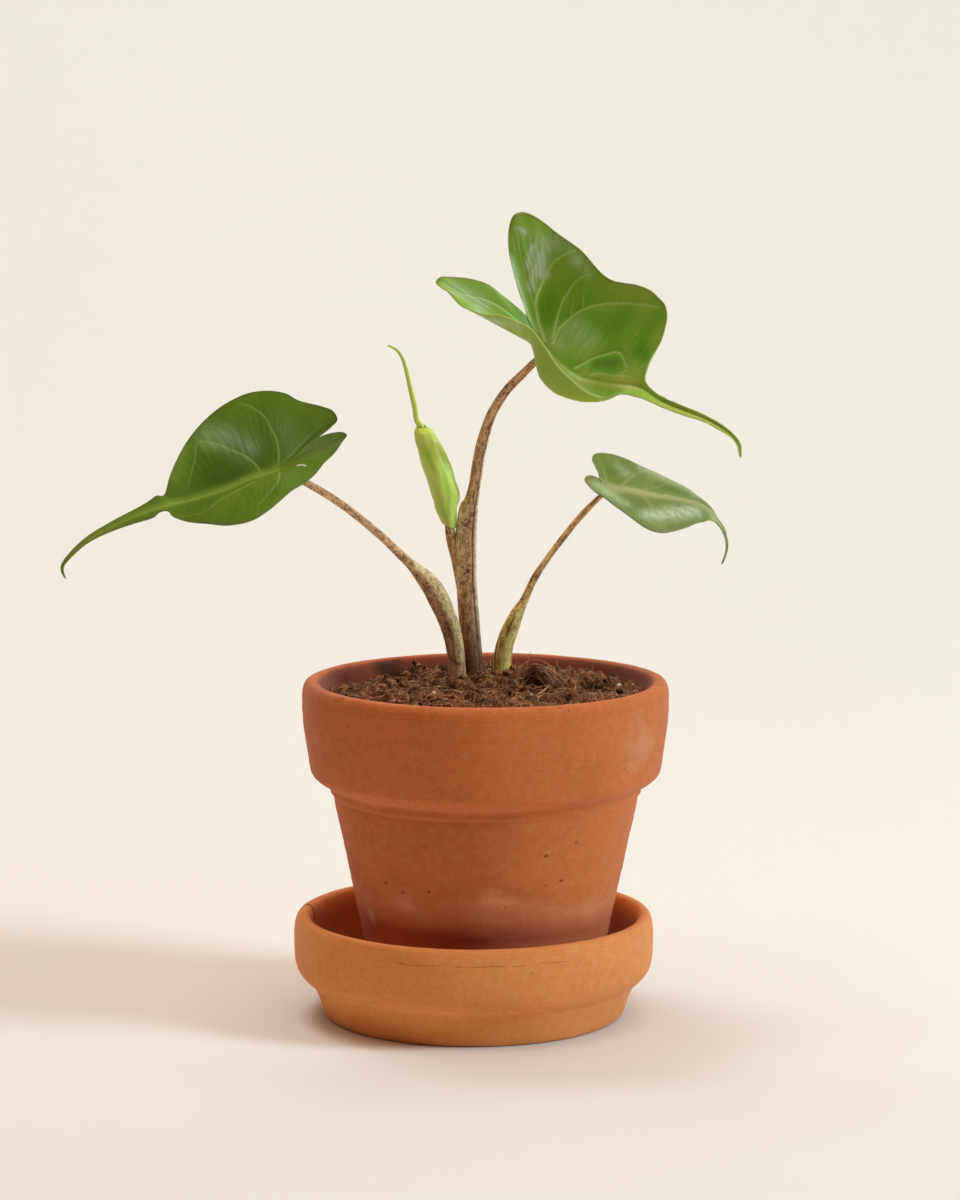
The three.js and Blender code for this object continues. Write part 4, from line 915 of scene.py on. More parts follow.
STINGRAY_TOP = {
    "spine": [
        (18.5, -20, 251), (25.5, -22, 239.5), (35.5, -32, 232), (45, -41, 230), (56, -50, 229),
        (63, -54, 225), (71, -58, 222), (78, -61, 219.5), (84.5, -63, 216), (89, -64, 211.5),
        (90, -64, 206.5),
    ],
    "far": [
        (18.5, -20, 251, 0, 0), (16.5, -16, 257.5, 0.3, 0), (14.5, -12, 264, 0.6, 0.4),
        (12.5, -9, 271, 0.8, 0.8), (12, -7, 277, 1, 1), (12.5, -6, 282, 1, 1.2), (14, -6, 285.5, 1, 1.4),
        (17, -6, 286.5, 1, 1.5), (20.5, -7, 285.5, 1, 1.6), (24.5, -8, 283, 1, 1.8),
        (29, -10, 279.5, 1, 2), (37.5, -17, 273.5, 1.1, 2.2), (41.5, -21, 269, 1.2, 2.4),
        (45, -25, 265.5, 1.4, 2.4), (48, -28, 264, 1.6, 2.2), (51, -31, 263.5, 1.8, 2),
        (55.5, -35, 263, 2.1, 2), (60, -38, 261.5, 2.5, 1.8), (63, -41, 259, 2.8, 1.6),
        (65.2, -42.7, 256.5, 3, 1.5), (65.8, -44, 252.5, 3.2, 1.4), (65, -45, 248.5, 3.4, 1.2),
        (63.5, -46, 244, 3.6, 0.8), (61, -47, 240, 3.8, 0.4), (59, -48.5, 236, 4, 0),
        (58.2, -49.8, 231.4, 4.2, 0), (63, -53.5, 227, 5, 0), (69.5, -57, 224.5, 5.8, 0),
        (78, -60.5, 221.5, 6.9, 0), (84.5, -63, 218, 7.9, 0), (90, -64, 213.5, 8.8, 0),
        (91.5, -64, 210.5, 9.4, 0), (90, -64, 206.5, 10, 0),
    ],
    "near": [
        (18.5, -20, 251, 0, 0), (16, -20, 253.5, 0.3, 0), (10.5, -20, 258, 0.7, 0),
        (4.5, -21, 262.5, 1, 0.5), (-2.5, -22, 264.5, 1, 0.5), (-9, -23, 265, 1, 0.5),
        (-11.5, -24, 265, 1, 0.5), (-13, -25, 263.5, 1, 0.5), (-11.5, -26.5, 262, 1, 0.5),
        (-9, -28, 260.5, 1, 0.6), (-7, -30, 258.5, 1, 0.6), (-4.5, -32, 256, 1, 0.4),
        (0, -35, 254, 1, 0.6), (4, -38, 253, 1, 1), (9, -40, 253, 1, 1.8), (13.5, -42, 251.5, 1, 2.6),
        (19, -44, 249, 1, 3.4), (24.5, -46, 242.5, 1.2, 6), (28.5, -48, 236.5, 1.4, 8.2),
        (32.5, -50, 232.5, 1.7, 8.6), (39, -52, 227.5, 2.3, 6.2), (45, -54, 226, 2.9, 3.4),
        (50, -55, 227.5, 3.5, 1.2), (56.5, -56, 226, 4.2, 0), (63.5, -58.5, 223, 5, 0),
        (71, -61, 220, 6, 0), (78.5, -63, 217.5, 7, 0), (84, -65, 214.5, 8, 0),
        (88.5, -64.7, 211.5, 8.8, 0), (90, -64, 206.5, 10, 0),
    ],
    "tail": (4, 9.5), "tail_tone": 0.8, "slim": 0.68, "rib_width": 0.85, "sink": 0.3, "dome": 0.45,
    "veins": [
        ("far", 0.55, 1, [
            (5.45, 0.08), (4.58, 0.22), (5.15, 0.33), (6.43, 0.38), (7.78, 0.46), (8.58, 0.54),
            (9.15, 0.63), (9.68, 0.72), (10.1, 0.8), (10.4, 0.88), (10.8, 0.98),
        ]),
        ("far", 0.4, 0.55, [
            (4.85, 0.34), (4.9, 0.42), (4.93, 0.51), (4.78, 0.6), (5.08, 0.66), (5.28, 0.75),
            (5.53, 0.82), (5.83, 0.89),
        ]),
        ("far", 0.45, 0.85, [
            (10.5, 0.14), (10.43, 0.24), (10.48, 0.36), (10.58, 0.49), (10.78, 0.59), (10.93, 0.68),
            (11.28, 0.78), (11.83, 0.89),
        ]),
        ("far", 0.45, 0.85, [
            (10.78, 0.1), (10.78, 0.21), (11.18, 0.32), (11.78, 0.44), (12.28, 0.55), (13.05, 0.67),
            (14.08, 0.75), (15.4, 0.79), (16.43, 0.82), (17.48, 0.87), (18.7, 0.94),
        ]),
        ("far", 0.35, 0.4, [(12.4, 0.57), (12.15, 0.65), (11.95, 0.72), (12, 0.82)]),
        ("far", 0.35, 0.4, [(11.75, 0.44), (11.4, 0.5), (11.4, 0.59)]),
        ("far", 0.45, 0.8, [
            (15.15, 0.05), (15.55, 0.13), (16.07, 0.21), (16.62, 0.27), (17.15, 0.32), (17.68, 0.34),
            (18.5, 0.32), (19.33, 0.28), (20.1, 0.24), (20.15, 0.17),
        ]),
        ("far", 0.4, 0.5, [(16.7, 0.04), (17.28, 0.08), (18.93, 0.1), (22, 0.19)]),
        ("near", 0.5, 0.7, [
            (2.35, 0.22), (3.2, 0.42), (3.55, 0.56), (3.98, 0.66), (4.62, 0.72), (5.95, 0.77),
            (6.4, 0.87), (6.48, 0.94),
        ]),
    ],
    "tone": [
        ("far", 6, 0.2, [(6.83, 0.93), (8.35, 0.94)]),
        ("far", 4, -0.55, [(9.35, 0.39), (8.5, 0.28)]),
        ("far", 2.6, -1, [(16.5, 0.16), (18.2, 0.23)]),
        ("far", 3, -0.8, [(20.12, 0.51), (21.75, 0.59)]),
        ("far", 5, 0.25, [(14.25, 0.89), (17.12, 0.93)]),
        ("far", 2.5, 0.15, [(20.18, 0.86), (21.93, 0.72)]),
        ("far", 2.6, 0.8, [(16.28, 0), (17.98, 0), (20.98, 0), (23.45, 0)]),
        ("far", 5, -0.3, [(13.93, 0.46), (16.12, 0.62)]),
        ("near", 9, 0.6, [(6.45, 0.89), (4.5, 0.74), (3.65, 0.57)]),
    ],
    # painted highlights: patches where a silvery sheen of reflected light is painted on
    "painted_sheen": [
        ("far", 2, 1, [(2.8, 1), (1.65, 1), (0.3, 1), (1.1, 0)]),
        ("far", 0.9, 0.9, [(5.83, 0.91), (6.75, 0.86)]),
        ("far", 1.2, 0.9, [(6.03, 0.62), (7.55, 0.76)]),
        ("far", 1.8, 1.2, [(8.45, 0.71), (8.68, 0.59)]),
        ("far", 1.6, 1.2, [(5.65, 0.47), (7.88, 0.61)]),
        ("far", 3, 0.5, [(9.18, 0.82), (8, 0.64)]),
        ("far", 3, 0.3, [(5.53, 0.82), (8.22, 0.86)]),
        ("far", 3.6, 0.4, [(9.55, 0.88), (10.53, 0.96), (10.85, 0.92)]),
        ("far", 2.4, 0.4, [(10.93, 0.89), (11.9, 0.89)]),
        ("far", 5.5, 0.6, [(11.43, 0.16), (12.48, 0.33), (14.55, 0.32)]),
        ("far", 1, 0.8, [(16.07, 0), (16.35, 0)]),
        ("near", 3, 0.75, [(6.43, 0.84), (5.43, 0.65), (14.95, 0.9)]),
    ],
    "painted_glint": [],
}
STINGRAY_RIGHT = {
    "spine": [
        (45.5, 36, 188.5), (49.5, 35, 185.5), (57, 34, 184.5), (64, 33, 183), (71.5, 32, 182),
        (79, 31, 180.5), (84, 30, 178.5), (88, 29, 174.5), (91, 28.5, 169), (91.5, 28, 163.5),
        (89.5, 28, 158),
    ],
    "far": [
        (45.5, 36, 188.5, 0, 0), (45, 38.5, 190.5, 0.5, 0), (44, 41.5, 193, 0.9, 0),
        (43, 44, 194.5, 1, 0), (43.5, 46.5, 196, 1, 0.2), (45.5, 48.5, 196.5, 1, 0.4),
        (50, 50, 196, 1, 0.6), (53.5, 50, 195, 1, 0.6), (57.5, 49.5, 193.4, 1.1, 0.8),
        (61, 48.5, 191.7, 1.4, 0.8), (66.5, 46.5, 189.5, 2, 0.8), (72, 44, 187, 2.8, 0.6),
        (77.5, 41, 184.5, 3.6, 0.5), (81, 38.5, 182, 4.3, 0.3), (84, 35.5, 180, 5, 0),
        (87, 32.5, 177, 5.7, 0), (89.5, 31, 173.5, 6.6, 0), (91.5, 30, 170, 7.4, 0),
        (92.5, 29, 166.5, 8.2, 0), (92.5, 28.5, 163.5, 8.9, 0), (91.5, 28, 160.5, 9.5, 0),
        (89.5, 28, 158, 10, 0),
    ],
    "near": [
        (45.5, 36, 188.5, 0, 0), (43, 36.5, 189.5, 0.5, 0), (41, 36, 189.5, 0.9, 0),
        (40, 35, 188.5, 1, 0), (40.5, 33.5, 187.5, 1, 0), (42, 31, 186, 1, 0.2), (44, 28, 184.5, 1, 0.4),
        (47, 25.5, 183, 1, 0.6), (50.5, 22, 180.5, 1, 0.6), (54.5, 19, 178, 1.2, 0.6),
        (58, 17, 175.5, 1.5, 0.6), (61, 15.5, 173.5, 1.9, 0.6), (64.5, 14.5, 172, 2.3, 0.5),
        (68, 14.5, 171.5, 2.8, 0.4), (71.5, 15.5, 172, 3.3, 0.3), (76.5, 18.5, 173, 4.1, 0.2),
        (80, 21.5, 174, 4.8, 0), (84, 25, 174, 5.8, 0), (87, 26.5, 172, 6.6, 0), (89, 27, 169, 7.4, 0),
        (90, 27, 164.5, 8.6, 0), (89.5, 28, 158, 10, 0),
    ],
    "tail": (5.6, 7.8), "tail_tone": 1, "slim": 0.88, "rib_width": 2.2, "sink": 0.1, "dome": 0.3,
    "veins": [
        ("far", 0.6, 0.35, [(2.33, 0.11), (4.7, 0.52), (4.45, 0.88)]),
        ("far", 0.6, 0.4, [(8.95, 0.09), (9, 0.44), (9.25, 0.82), (9.55, 1)]),
        ("far", 0.6, 0.3, [(10.53, 0.19), (10.85, 0.47), (11.23, 0.88), (12.2, 0.95)]),
        ("near", 0.6, 0.35, [(8.62, 0.16), (9.55, 0.36), (10.38, 0.58)]),
        ("near", 0.6, 0.3, [(12.48, 0.13), (13.12, 0.35), (14.1, 0.57), (14.68, 0.79)]),
    ],
    "tone": [
        ("far", 2.6, -0.6, [(6.35, 0.5), (8, 0.74)]),
        ("far", 2.4, -0.6, [(11.18, 0.59), (12.58, 0.78)]),
        ("near", 3, -0.5, [(15.12, 0.34), (16.5, 0.58)]),
        ("near", 2.4, -0.4, [(10.33, 0.35), (11.62, 0.37)]),
        ("near", 4, 0.4, [(3.98, 0.59), (7.55, 0.27)]),
    ],
    # painted highlights: patches where a silvery sheen of reflected light is painted on
    "painted_sheen": [
        ("far", 2.6, 0.6, [(9.2, 1), (10.98, 1), (12.85, 1)]),
        ("near", 4, 0.9, [(12.33, 0.58), (14.43, 0.52), (15.95, 0.5)]),
        ("near", 2.6, 0.5, [(4.48, 0.46), (9.6, 0.49)]),
        ("far", 2.5, 0.4, [(7.38, 0.69), (8.3, 0.61)]),
    ],
    "painted_glint": [],
}


def value_at(edge, column, places):
    """One column of an edge's stations, at places along that edge."""
    return np.interp(places, np.arange(len(edge)), [s[column] for s in edge])


def blade_points(leaf, key, places, stations, shares):
    """Points of a half blade, one for each place along its edge and share of
    the way from the spine to that edge, and the direction its upper face looks."""
    spine, edge = leaf["spine"], leaf[key]
    last = len(edge) - 1
    line = [s[:3] for s in edge]
    root = curve(spine, stations)
    start, end = leaf["tail"]
    tail = np.clip((stations - start) / (end - start), 0, 1)
    rib = (curve(line, places) - root) * (1 - leaf["slim"] * tail)[:, None]
    ahead = curve(line, np.minimum(places + 0.8, last)) - curve(line, np.maximum(places - 0.8, 0))
    up = np.cross(ahead, rib)
    up *= (1 if key == "far" else -1) / np.maximum(np.linalg.norm(up, axis=1), 1e-9)[:, None]
    sag = value_at(edge, 4, places)
    points = root + rib * shares[:, None] - up * (4 * sag * shares * (1 - shares))[:, None]
    return points, up


def edge_rows(leaf):
    """Rows of each half blade as (place along its edge, spine station), about
    ROW millimetres apart. Both halves share their spine stations, so they meet."""
    rows = {"far": [], "near": []}
    fans = {}
    for key in rows:
        stations = [s[3] for s in leaf[key]]
        fans[key] = (stations.index(1), len(stations) - 1 - stations[::-1].index(1))
    last = len(leaf["spine"]) - 1

    def place(key, k):
        stations = [s[3] for s in leaf[key]]
        a, b = fans[key]
        low = np.interp(k, stations[: a + 1], range(a + 1))
        return np.where(k < 1, low, np.interp(k, stations[b:], range(b, len(stations))))

    def spaced(first, end):
        fine = np.linspace(first, end, 600)
        step = np.zeros(599)
        for key in rows:
            line = curve([s[:3] for s in leaf[key]], place(key, fine))
            step = np.maximum(step, steps_of(line))
        walk = walk_of(step)
        return np.interp(np.linspace(0, walk[-1], math.ceil(walk[-1] / ROW) + 1), walk, fine)

    low, high = spaced(0, 0.9999)[:-1], spaced(1, last)[1:]
    for key in rows:
        a, b = fans[key]
        line = curve([s[:3] for s in leaf[key]], np.linspace(a, b, 400))
        count = math.ceil(steps_of(line).sum() / ROW)
        rows[key] += list(zip(place(key, low), low))
        rows[key] += [(p, 1.0) for p in np.linspace(a, b, count + 1)]
        rows[key] += list(zip(place(key, high), high))
        rows[key] = np.array(rows[key])
    return rows


def blade_mesh(leaf):
    """A blade as one sheet, its two halves merged along the midrib, with its
    veins pressed in. What the skins read becomes an attribute each, and lie
    runs along the side ribs."""
    spine = leaf["spine"]
    last = len(spine) - 1
    tail_start, tail_end = leaf["tail"]
    bm = bmesh.new()
    names = ("vein", "midrib", "margin", "tone", "painted_sheen", "painted_glint", "thick")
    layers = {name: bm.verts.layers.float.new(name) for name in names}
    lie, start, upward = (bm.verts.layers.float_vector.new(name) for name in ("lie", "start", "upward"))
    for key, rows in edge_rows(leaf).items():
        made = bmesh.ops.create_grid(bm, x_segments=len(rows) - 1, y_segments=ACROSS, size=0.5)
        verts = made["verts"]
        i = np.array([round((v.co.x + 0.5) * (len(rows) - 1)) for v in verts])
        t = np.array([round((v.co.y + 0.5) * ACROSS) / ACROSS for v in verts])
        points, up = blade_points(leaf, key, rows[i, 0], rows[i, 1], t)
        line = curve([s[:3] for s in leaf[key]], rows[:, 0])
        walk = walk_of(steps_of(line))
        reach = np.linalg.norm(line - curve(spine, rows[:, 1]), axis=1)
        for v, p, n, share, row in zip(verts, points, up, t, i):
            v.co = p * MM
            v[start] = p
            v[upward] = n
            v[layers["margin"]] = share
            into_tail = 2.5 * (rows[row, 1] - tail_start) / (tail_end - tail_start)
            v[layers["tone"]] = leaf["tail_tone"] * min(1, max(0, into_tail))
            v[lie] = (walk[row], share * reach[row], 0)
    bmesh.ops.remove_doubles(bm, verts=bm.verts, dist=2e-6)
    bmesh.ops.dissolve_degenerate(bm, edges=bm.edges, dist=1e-6)
    bmesh.ops.recalc_face_normals(bm, faces=bm.faces)
    bm.normal_update()
    # the upper face has to look up, whichever way the blade points
    ahead = 1 if spine[-1][0] > spine[0][0] else -1
    if ahead * sum(v.normal.dot(v[upward]) for v in bm.verts) < 0:
        bmesh.ops.reverse_faces(bm, faces=bm.faces)
    inner = [v for v in bm.verts if not v.is_boundary]
    for _ in range(24):
        bmesh.ops.smooth_vert(bm, verts=inner, factor=0.5, use_axis_x=True, use_axis_y=True, use_axis_z=True)
    bm.normal_update()
    verts = list(bm.verts)
    places = np.array([v[start] for v in verts])
    lies = np.array([v[lie] for v in verts])
    edge = np.array([v[layers["margin"]] for v in verts])

    def on_blade(key, path):
        """Positions of a line given as (place along the edge, share of the way out)."""
        way = curve([(*p[:2], 0) for p in path], np.linspace(0, len(path) - 1, 24 * len(path)))
        stations = value_at(leaf[key], 3, way[:, 0])
        return blade_points(leaf, key, way[:, 0], stations, np.clip(way[:, 1], 0, 1))[0]

    nearest = np.full(len(verts), 99.0)
    vein = np.zeros(len(verts))
    for key, width, strength, path in leaf["veins"]:
        line = on_blade(key, path)
        gap = distance_to(line, places)
        if strength > 0.5:
            nearest = np.minimum(nearest, gap)
        # a vein thins towards its tip
        for n, share in enumerate(np.linspace(0, 0.9, 10)):
            part = line[round(share * len(line)) : round((share + 0.1) * len(line)) + 1]
            gap = distance_to(part, places)
            thin = 1 - 0.5 * share
            vein = np.maximum(vein, strength * thin * np.exp(-((gap / (width * thin)) ** 2)))
    to_rib = distance_to(curve(spine, np.linspace(1, last, 200)), places)
    to_notch = distance_to(curve(spine, np.linspace(0, 1, 20)), places)
    tip = np.array(spine[-1])
    inward = np.array(spine[1]) - tip
    along = np.clip((places - tip) @ inward / np.linalg.norm(inward) ** 2, 0, 1)
    rib = np.exp(-((to_rib / (leaf["rib_width"] * (0.5 + 0.5 * along))) ** 2))
    rib = np.maximum(rib, 0.6 * np.exp(-((to_notch / 0.7) ** 2)))
    nearest = np.minimum(nearest, np.minimum(to_rib, to_notch))
    sums = {}
    for name in ("tone", "painted_sheen", "painted_glint"):
        sums[name] = np.array([v[layers[name]] for v in verts])
        for key, size, amount, path in leaf[name]:
            gap = distance_to(on_blade(key, path), places)
            sums[name] += amount * np.exp(-((gap / size) ** 2))
    # side ribs: shallow folds about 3 mm apart that run from the midrib out
    fold = np.array([noise.noise(Vector(p) * 0.09) for p in places])
    ripple = np.cos(2 * np.pi * (lies[:, 0] / 3.1 + 1.3 * fold))
    open_part = np.clip(lies[:, 1] / 12, 0, 1) * np.clip((1 - edge) / 0.15, 0, 1)
    relief = 0.05 * ripple * open_part + 0.16 * fold
    press = leaf["sink"] * np.maximum(vein, rib) - leaf["dome"] * (1 - np.exp(-nearest / 3.5)) - relief
    for n, v in enumerate(verts):
        v[layers["vein"]] = vein[n]
        v[layers["midrib"]] = rib[n]
        thin = BLADE_EDGE / BLADE_RIB * min(1, 0.4 + 5 * along[n])
        v[layers["thick"]] = max(thin, rib[n] * min(1, 0.3 + 1.6 * along[n]))
        for name, values in sums.items():
            v[layers[name]] = values[n]
        v[lie] = lies[n] * MM
        v.co -= v.normal * press[n] * (1 - edge[n] ** 6) * MM
    return bm


def leaf_skin(name, deep, mid, light, vein, rib, margin, gloss, wax, draw=0.13, patchy=0.25):
    """Leaf skin: a waxy cuticle, so a satin gloss over the green, with paler
    veins, faint streaks along the side ribs and a thin dry margin. A silvery sheen and a white glint are
    painted highlights."""
    material, tree = new_material(name)

    def layer(attribute):
        return add(tree, "Attribute", attribute_name=attribute)

    place = add(tree, "TexCoord").outputs["Object"]
    cloud = add(tree, "TexNoise", {"Vector": place, "Scale": 70.0, "Detail": 4.0, "Roughness": 0.6})
    # streaks 1 mm wide that follow the side ribs, longer where draw is smaller
    drawn = add(tree, "Mapping", {"Vector": layer("lie").outputs["Vector"], "Scale": (1.0, draw, 1.0)})
    streak = add(tree, "TexNoise", {"Vector": drawn, "Scale": 480.0, "Detail": 4.0, "Roughness": 0.65})
    uneven = add(tree, "Math", {0: streak, 1: 0.3, 2: cloud}, operation="MULTIPLY_ADD")
    uneven = add(tree, "MapRange", {
        "Value": uneven, "From Min": 0.45, "From Max": 0.85, "To Min": -0.17, "To Max": 0.17,
    })
    # tone lightens or darkens the blade in listed patches: partly the leaf's own mottling, partly painted
    # light and shade, such as a tail lightened out of its shade
    tone = add(tree, "Math", {0: uneven, 1: layer("tone")}, operation="ADD")
    darker = add(tree, "MapRange", {"Value": tone, "From Min": -1.0, "From Max": 0.0})
    lighter = add(tree, "MapRange", {"Value": tone, "From Min": 0.0, "From Max": 1.0})
    # painted highlight: the wax's silvery sheen is painted on in streaks, in the patches each leaf lists
    sheen_highlight = add(tree, "MapRange", {"Value": streak, "From Min": 0.42, "From Max": 0.56, "To Min": patchy})
    sheen_highlight = add(tree, "Math", {0: sheen_highlight, 1: layer("painted_sheen")}, operation="MULTIPLY", use_clamp=True)
    tints = [(darker, mid), (lighter, light), (sheen_highlight, "#bcd2ae")]
    for attribute, tint in (("vein", vein), ("midrib", rib)):
        much = add(tree, "Math", {0: layer(attribute), 1: 1.25}, operation="MULTIPLY", use_clamp=True)
        tints.append((much, tint))
    dry = add(tree, "MapRange", {
        "Value": layer("margin"), "From Min": 0.972, "From Max": 0.99, "To Max": 0.6,
    })
    colour = deep
    # painted highlight: the small white glint, then the dry margin
    for share, tint in [*tints, (layer("painted_glint"), "#f0efe4"), (dry, margin)]:
        colour = add(tree, "Mix", {0: share, 6: colour, 7: tint}, data_type="RGBA")
    cell = add(tree, "TexNoise", {"Vector": place, "Scale": 1500.0, "Detail": 2.0})
    height = add(tree, "Math", {0: streak, 1: 1.6, 2: cell}, operation="MULTIPLY_ADD")
    rough = add(tree, "MapRange", {"Value": cloud, "To Min": gloss - 0.05, "To Max": gloss + 0.12})
    surface(tree, colour, rough, (height, 0.35, 0.00025), {
        "Specular IOR Level": wax, "Subsurface Weight": 0.2, "Subsurface Radius": (0.5, 1.0, 0.2),
        "Subsurface Scale": 0.0008,
    })
    return material


def make_leaf(name, node, leaf, upper, under):
    """A finished blade: sheet, thickness, both skins and its place in the frame."""
    piece = finish_mesh(blade_mesh(leaf), name, [upper, under])
    group = piece.vertex_groups.new(name="thickness")
    for i, item in enumerate(piece.data.attributes["thick"].data):
        group.add([i], item.value, "REPLACE")
    solid = piece.modifiers.new("blade thickness", "SOLIDIFY")
    solid.thickness = BLADE_RIB * MM
    solid.offset = -0.6
    solid.vertex_group = "thickness"
    solid.material_offset = 1
    solid.material_offset_rim = 1
    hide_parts(node)
    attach(piece, "root")


make_leaf(
    "leaf_left_blade", "leaf_left", STINGRAY_LEFT,
    leaf_skin(
        "satin leaf skin, left",
        "#3c5a0e", "#668529", "#8aa04a", "#98ad5e", "#86a044", "#5a5a34", 0.5, 0.0, 0.13, 0.6,
    ),
    leaf_skin(
        "leaf underside, left",
        "#5c7a24", "#6c8a30", "#83993c", "#93a44c", "#93a44c", "#7c7a4a", 0.5, 0.35,
    ),
)
make_leaf(
    "leaf_top_blade", "leaf_top", STINGRAY_TOP,
    leaf_skin(
        "satin leaf skin, top",
        "#4a8205", "#6eae12", "#acbc4c", "#c8e098", "#98b84c", "#7a7440", 0.36, 0.42, 0.2, 0.55,
    # the underside is painted bright yellow-green: painted glow of light shining through the blade
    ),
    leaf_skin(
        "leaf underside, top, lit through",
        "#8ab01a", "#99bc1e", "#a8b850", "#c4d668", "#c4d668", "#c0cc80", 0.5, 0.35,
    ),
)
make_leaf(
    "leaf_right_blade", "leaf_right", STINGRAY_RIGHT,
    leaf_skin(
        "satin leaf skin, right",
        "#4f6e18", "#6a8130", "#b4b884", "#a0a868", "#9ca66c", "#8c8c6c", 0.42, 0.4, 0.6, 0.6,
    ),
    leaf_skin(
        "leaf underside, right",
        "#748f4c", "#84a05a", "#b4b884", "#a3b474", "#a3b474", "#8c9468", 0.5, 0.35,
    ),
)

# ---------------------------------------------------------------------------
# New leaf: still rolled up, one blade wound round itself with its ribs showing
# through, glossy and soft, with a thread of a tail on top.
ROLL = [
    (-4.2, 16.5, 146, 1.5), (-5.3, 15.5, 155, 1.6), (-6.6, 14.5, 162, 1.65), (-7.9, 13.5, 167.5, 1.65),
    (-8.5, 12.5, 172, 1.7), (-8.7, 12, 175, 2.4), (-9.2, 11.5, 178, 3.1), (-9.8, 11, 181.5, 3.9),
    (-9.9, 11, 185, 4.6), (-11.2, 11, 189.5, 4.75), (-12.8, 11, 194.5, 5), (-14.4, 11, 198.5, 4.85),
    (-16, 11, 203, 4.3), (-17.2, 11, 205.7, 3.9), (-18.2, 11, 208.2, 3.2), (-19, 11, 210.3, 2.3),
    (-20.2, 11, 212, 1.2), (-21, 10.5, 217, 1), (-22.3, 10, 222.5, 1), (-23.5, 9.5, 228, 0.95),
    (-24.8, 9, 233, 0.85), (-27, 8.5, 237, 0.6), (-30.5, 8, 239, 0.3),
]
ROLL_TURNS = 1.3
ROLL_ROWS = 150
ROLL_SIDES = 96
TAIL_ROWS = 90
TAIL_SIDES = 20


def roll_frame(stations, place):
    """Middle, radius and sideways directions of the roll at a place along it."""
    last = len(stations) - 1
    here, ahead, behind = curve(stations, [place, min(place + 0.1, last), max(place - 0.1, 0)])
    return Vector(here[:3]), here[3], *across(ahead[:3], behind[:3])


bm = bmesh.new()
# ridge carries painted light and shade on the folds and the painted highlight dashes
fold_shading_layer = bm.verts.layers.float.new("ridge")
turn_layer = bm.verts.layers.float.new("round")
bmesh.ops.create_grid(bm, x_segments=ROLL_ROWS, y_segments=ROLL_SIDES, size=0.5)
for v in bm.verts:
    u = v.co.x + 0.5
    share = v.co.y + 0.5
    # the free edge of the blade runs down the right, just out of sight from the front
    turn = 3.3 + 0.3 * u + 2 * math.pi * ROLL_TURNS * share
    low = 4.35 + 0.42 * (1 + math.cos(turn))
    wave = noise.noise(Vector((2 * math.cos(turn), 2 * math.sin(turn), 5)))
    high = 15.4 - 0.55 * (1 + math.cos(turn - 2.6)) + 0.35 * wave
    at, radius, wide, deep = roll_frame(ROLL, low + (high - low) * u)
    full = smooth_step(1.4, 4.0, radius)
    spot = Vector((math.cos(turn) * 1.1, math.sin(turn) * 1.1, at.z * 0.07))
    lobes = math.cos(turn * 6 + at.z * 0.2 + 4 * noise.noise(spot * 0.9))
    ridge = 1.3 * noise.noise(spot * 2.1) + 0.2 * lobes
    rib = math.cos(2 * math.pi * at.z / 3.1 + 2.3 * turn + 5 * noise.noise(spot))
    radius += 0.1 - 0.42 * share + (0.3 * ridge + 0.015 * rib) * full
    radius *= 1 - 0.3 * smooth_step(0.9, 1, u)
    v.co = (at + wide * math.cos(turn) * radius + deep * math.sin(turn) * radius) * MM
    # painted highlight: pale dashes down the right third, where the ribs catch the light
    dash = max(rib, 0) ** 4 * math.exp(-(((turn % (2 * math.pi) - 2.35) / 0.3) ** 2))
    v[fold_shading_layer] = 0.5 + 0.42 * ridge + 0.02 * rib + 0.2 * dash
    v[turn_layer] = share
tail_stations = np.array(ROLL[12:], float)
tail_stations[:, 3] = (0.5, 0.8, 0.95, 1.0, 0.95, 0.85, 0.75, 0.65, 0.55, 0.4, 0.2)
tube = bmesh.ops.create_grid(bm, x_segments=TAIL_ROWS, y_segments=TAIL_SIDES, size=0.5)
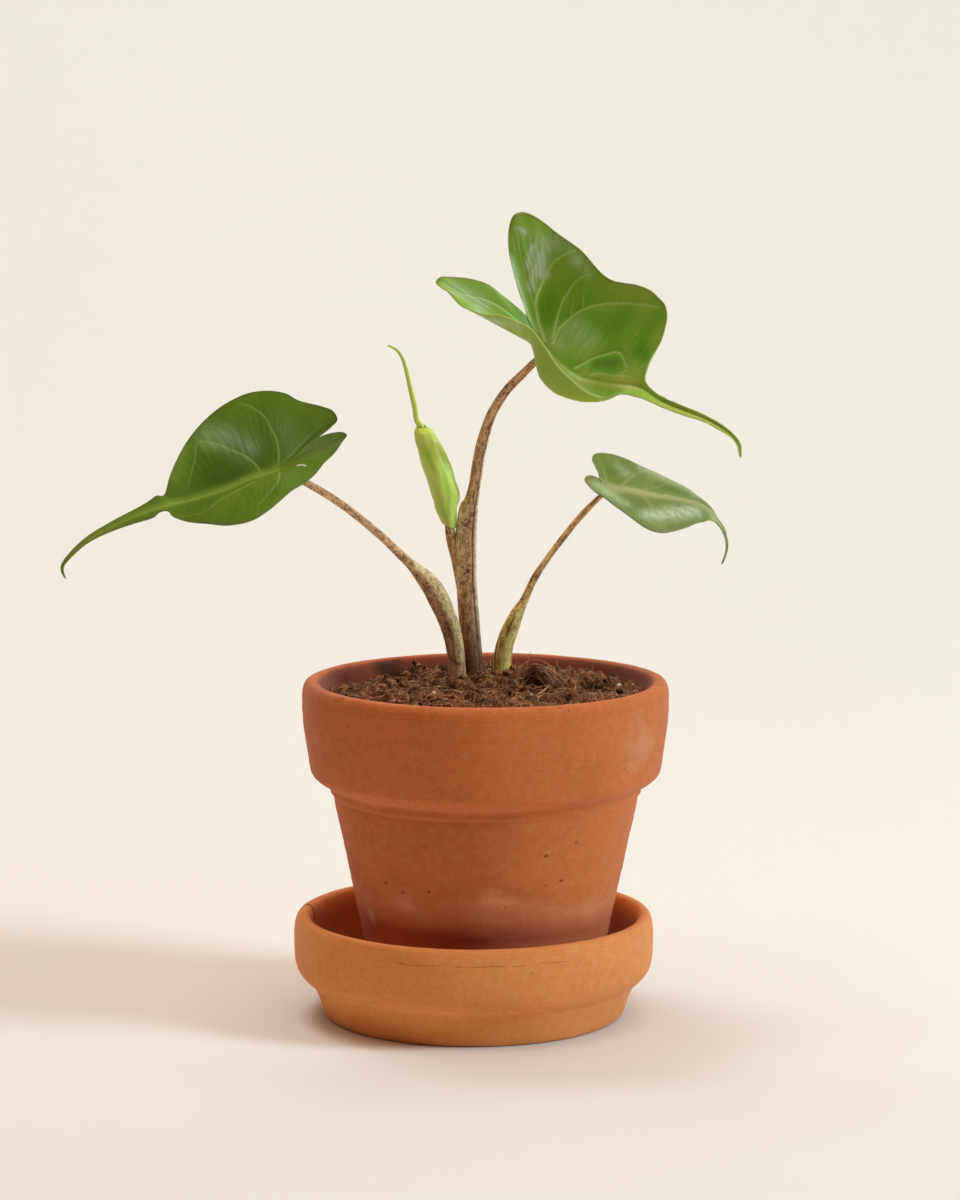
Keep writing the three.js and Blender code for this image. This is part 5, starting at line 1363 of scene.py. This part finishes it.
for v in tube["verts"]:
    u = v.co.x + 0.5
    turn = 2 * math.pi * (round((v.co.y + 0.5) * TAIL_SIDES) % TAIL_SIDES) / TAIL_SIDES
    at, radius, wide, deep = roll_frame(tail_stations, u * (len(tail_stations) - 1))
    groove = 1 - 0.25 * math.exp(-(((turn - 1.4) / 0.5) ** 2))
    v.co = (at + (wide * math.cos(turn) + deep * math.sin(turn)) * radius * groove) * MM
    # painted shade along the tail's groove; the tail also darkens towards its tip
    v[fold_shading_layer] = 0.4 + 0.5 * groove - 0.3 * u
    v[turn_layer] = 0.5
bmesh.ops.remove_doubles(bm, verts=tube["verts"], dist=1e-7)
bmesh.ops.recalc_face_normals(bm, faces=bm.faces)
young, tree = new_material("young leaf skin")
place = add(tree, "TexCoord").outputs["Object"]
fold_shading = add(tree, "Attribute", attribute_name="ridge")
rolled = add(tree, "Attribute", attribute_name="round")
lip = add(tree, "MapRange", {
    "Value": rolled, "From Min": 0.0, "From Max": 0.03, "To Min": 0.7, "To Max": 0.0,
})
fine = add(tree, "TexNoise", {"Vector": place, "Scale": 300.0, "Detail": 3.0})
pale = add(tree, "MapRange", {"Value": fine, "From Min": 0.5, "From Max": 0.7, "To Max": 0.4})
colour = "#a2dc32"
# painted light: the ridges of the folds are painted pale yellow-green and the valleys stay darker; a pale
# free edge and fine pale flecks follow
for share, tint in ((fold_shading, "#e6f078"), (lip, "#d4e270"), (pale, "#d4e270")):
    colour = add(tree, "Mix", {0: share, 6: colour, 7: tint}, data_type="RGBA")
surface(tree, colour, 0.38, (fine, 0.2, 0.0003), {
    "Specular IOR Level": 0.5, "Subsurface Weight": 0.3, "Subsurface Radius": (0.8, 1.0, 0.3),
    "Subsurface Scale": 0.001,
})
new_leaf = finish_mesh(bm, "rolled_new_leaf", [young])
solid = new_leaf.modifiers.new("blade thickness", "SOLIDIFY")
solid.thickness = 0.26 * MM
solid.offset = 0
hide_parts("leaf_new")
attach(new_leaf, "root")

# ---------------------------------------------------------------------------
bpy.context.view_layer.update()
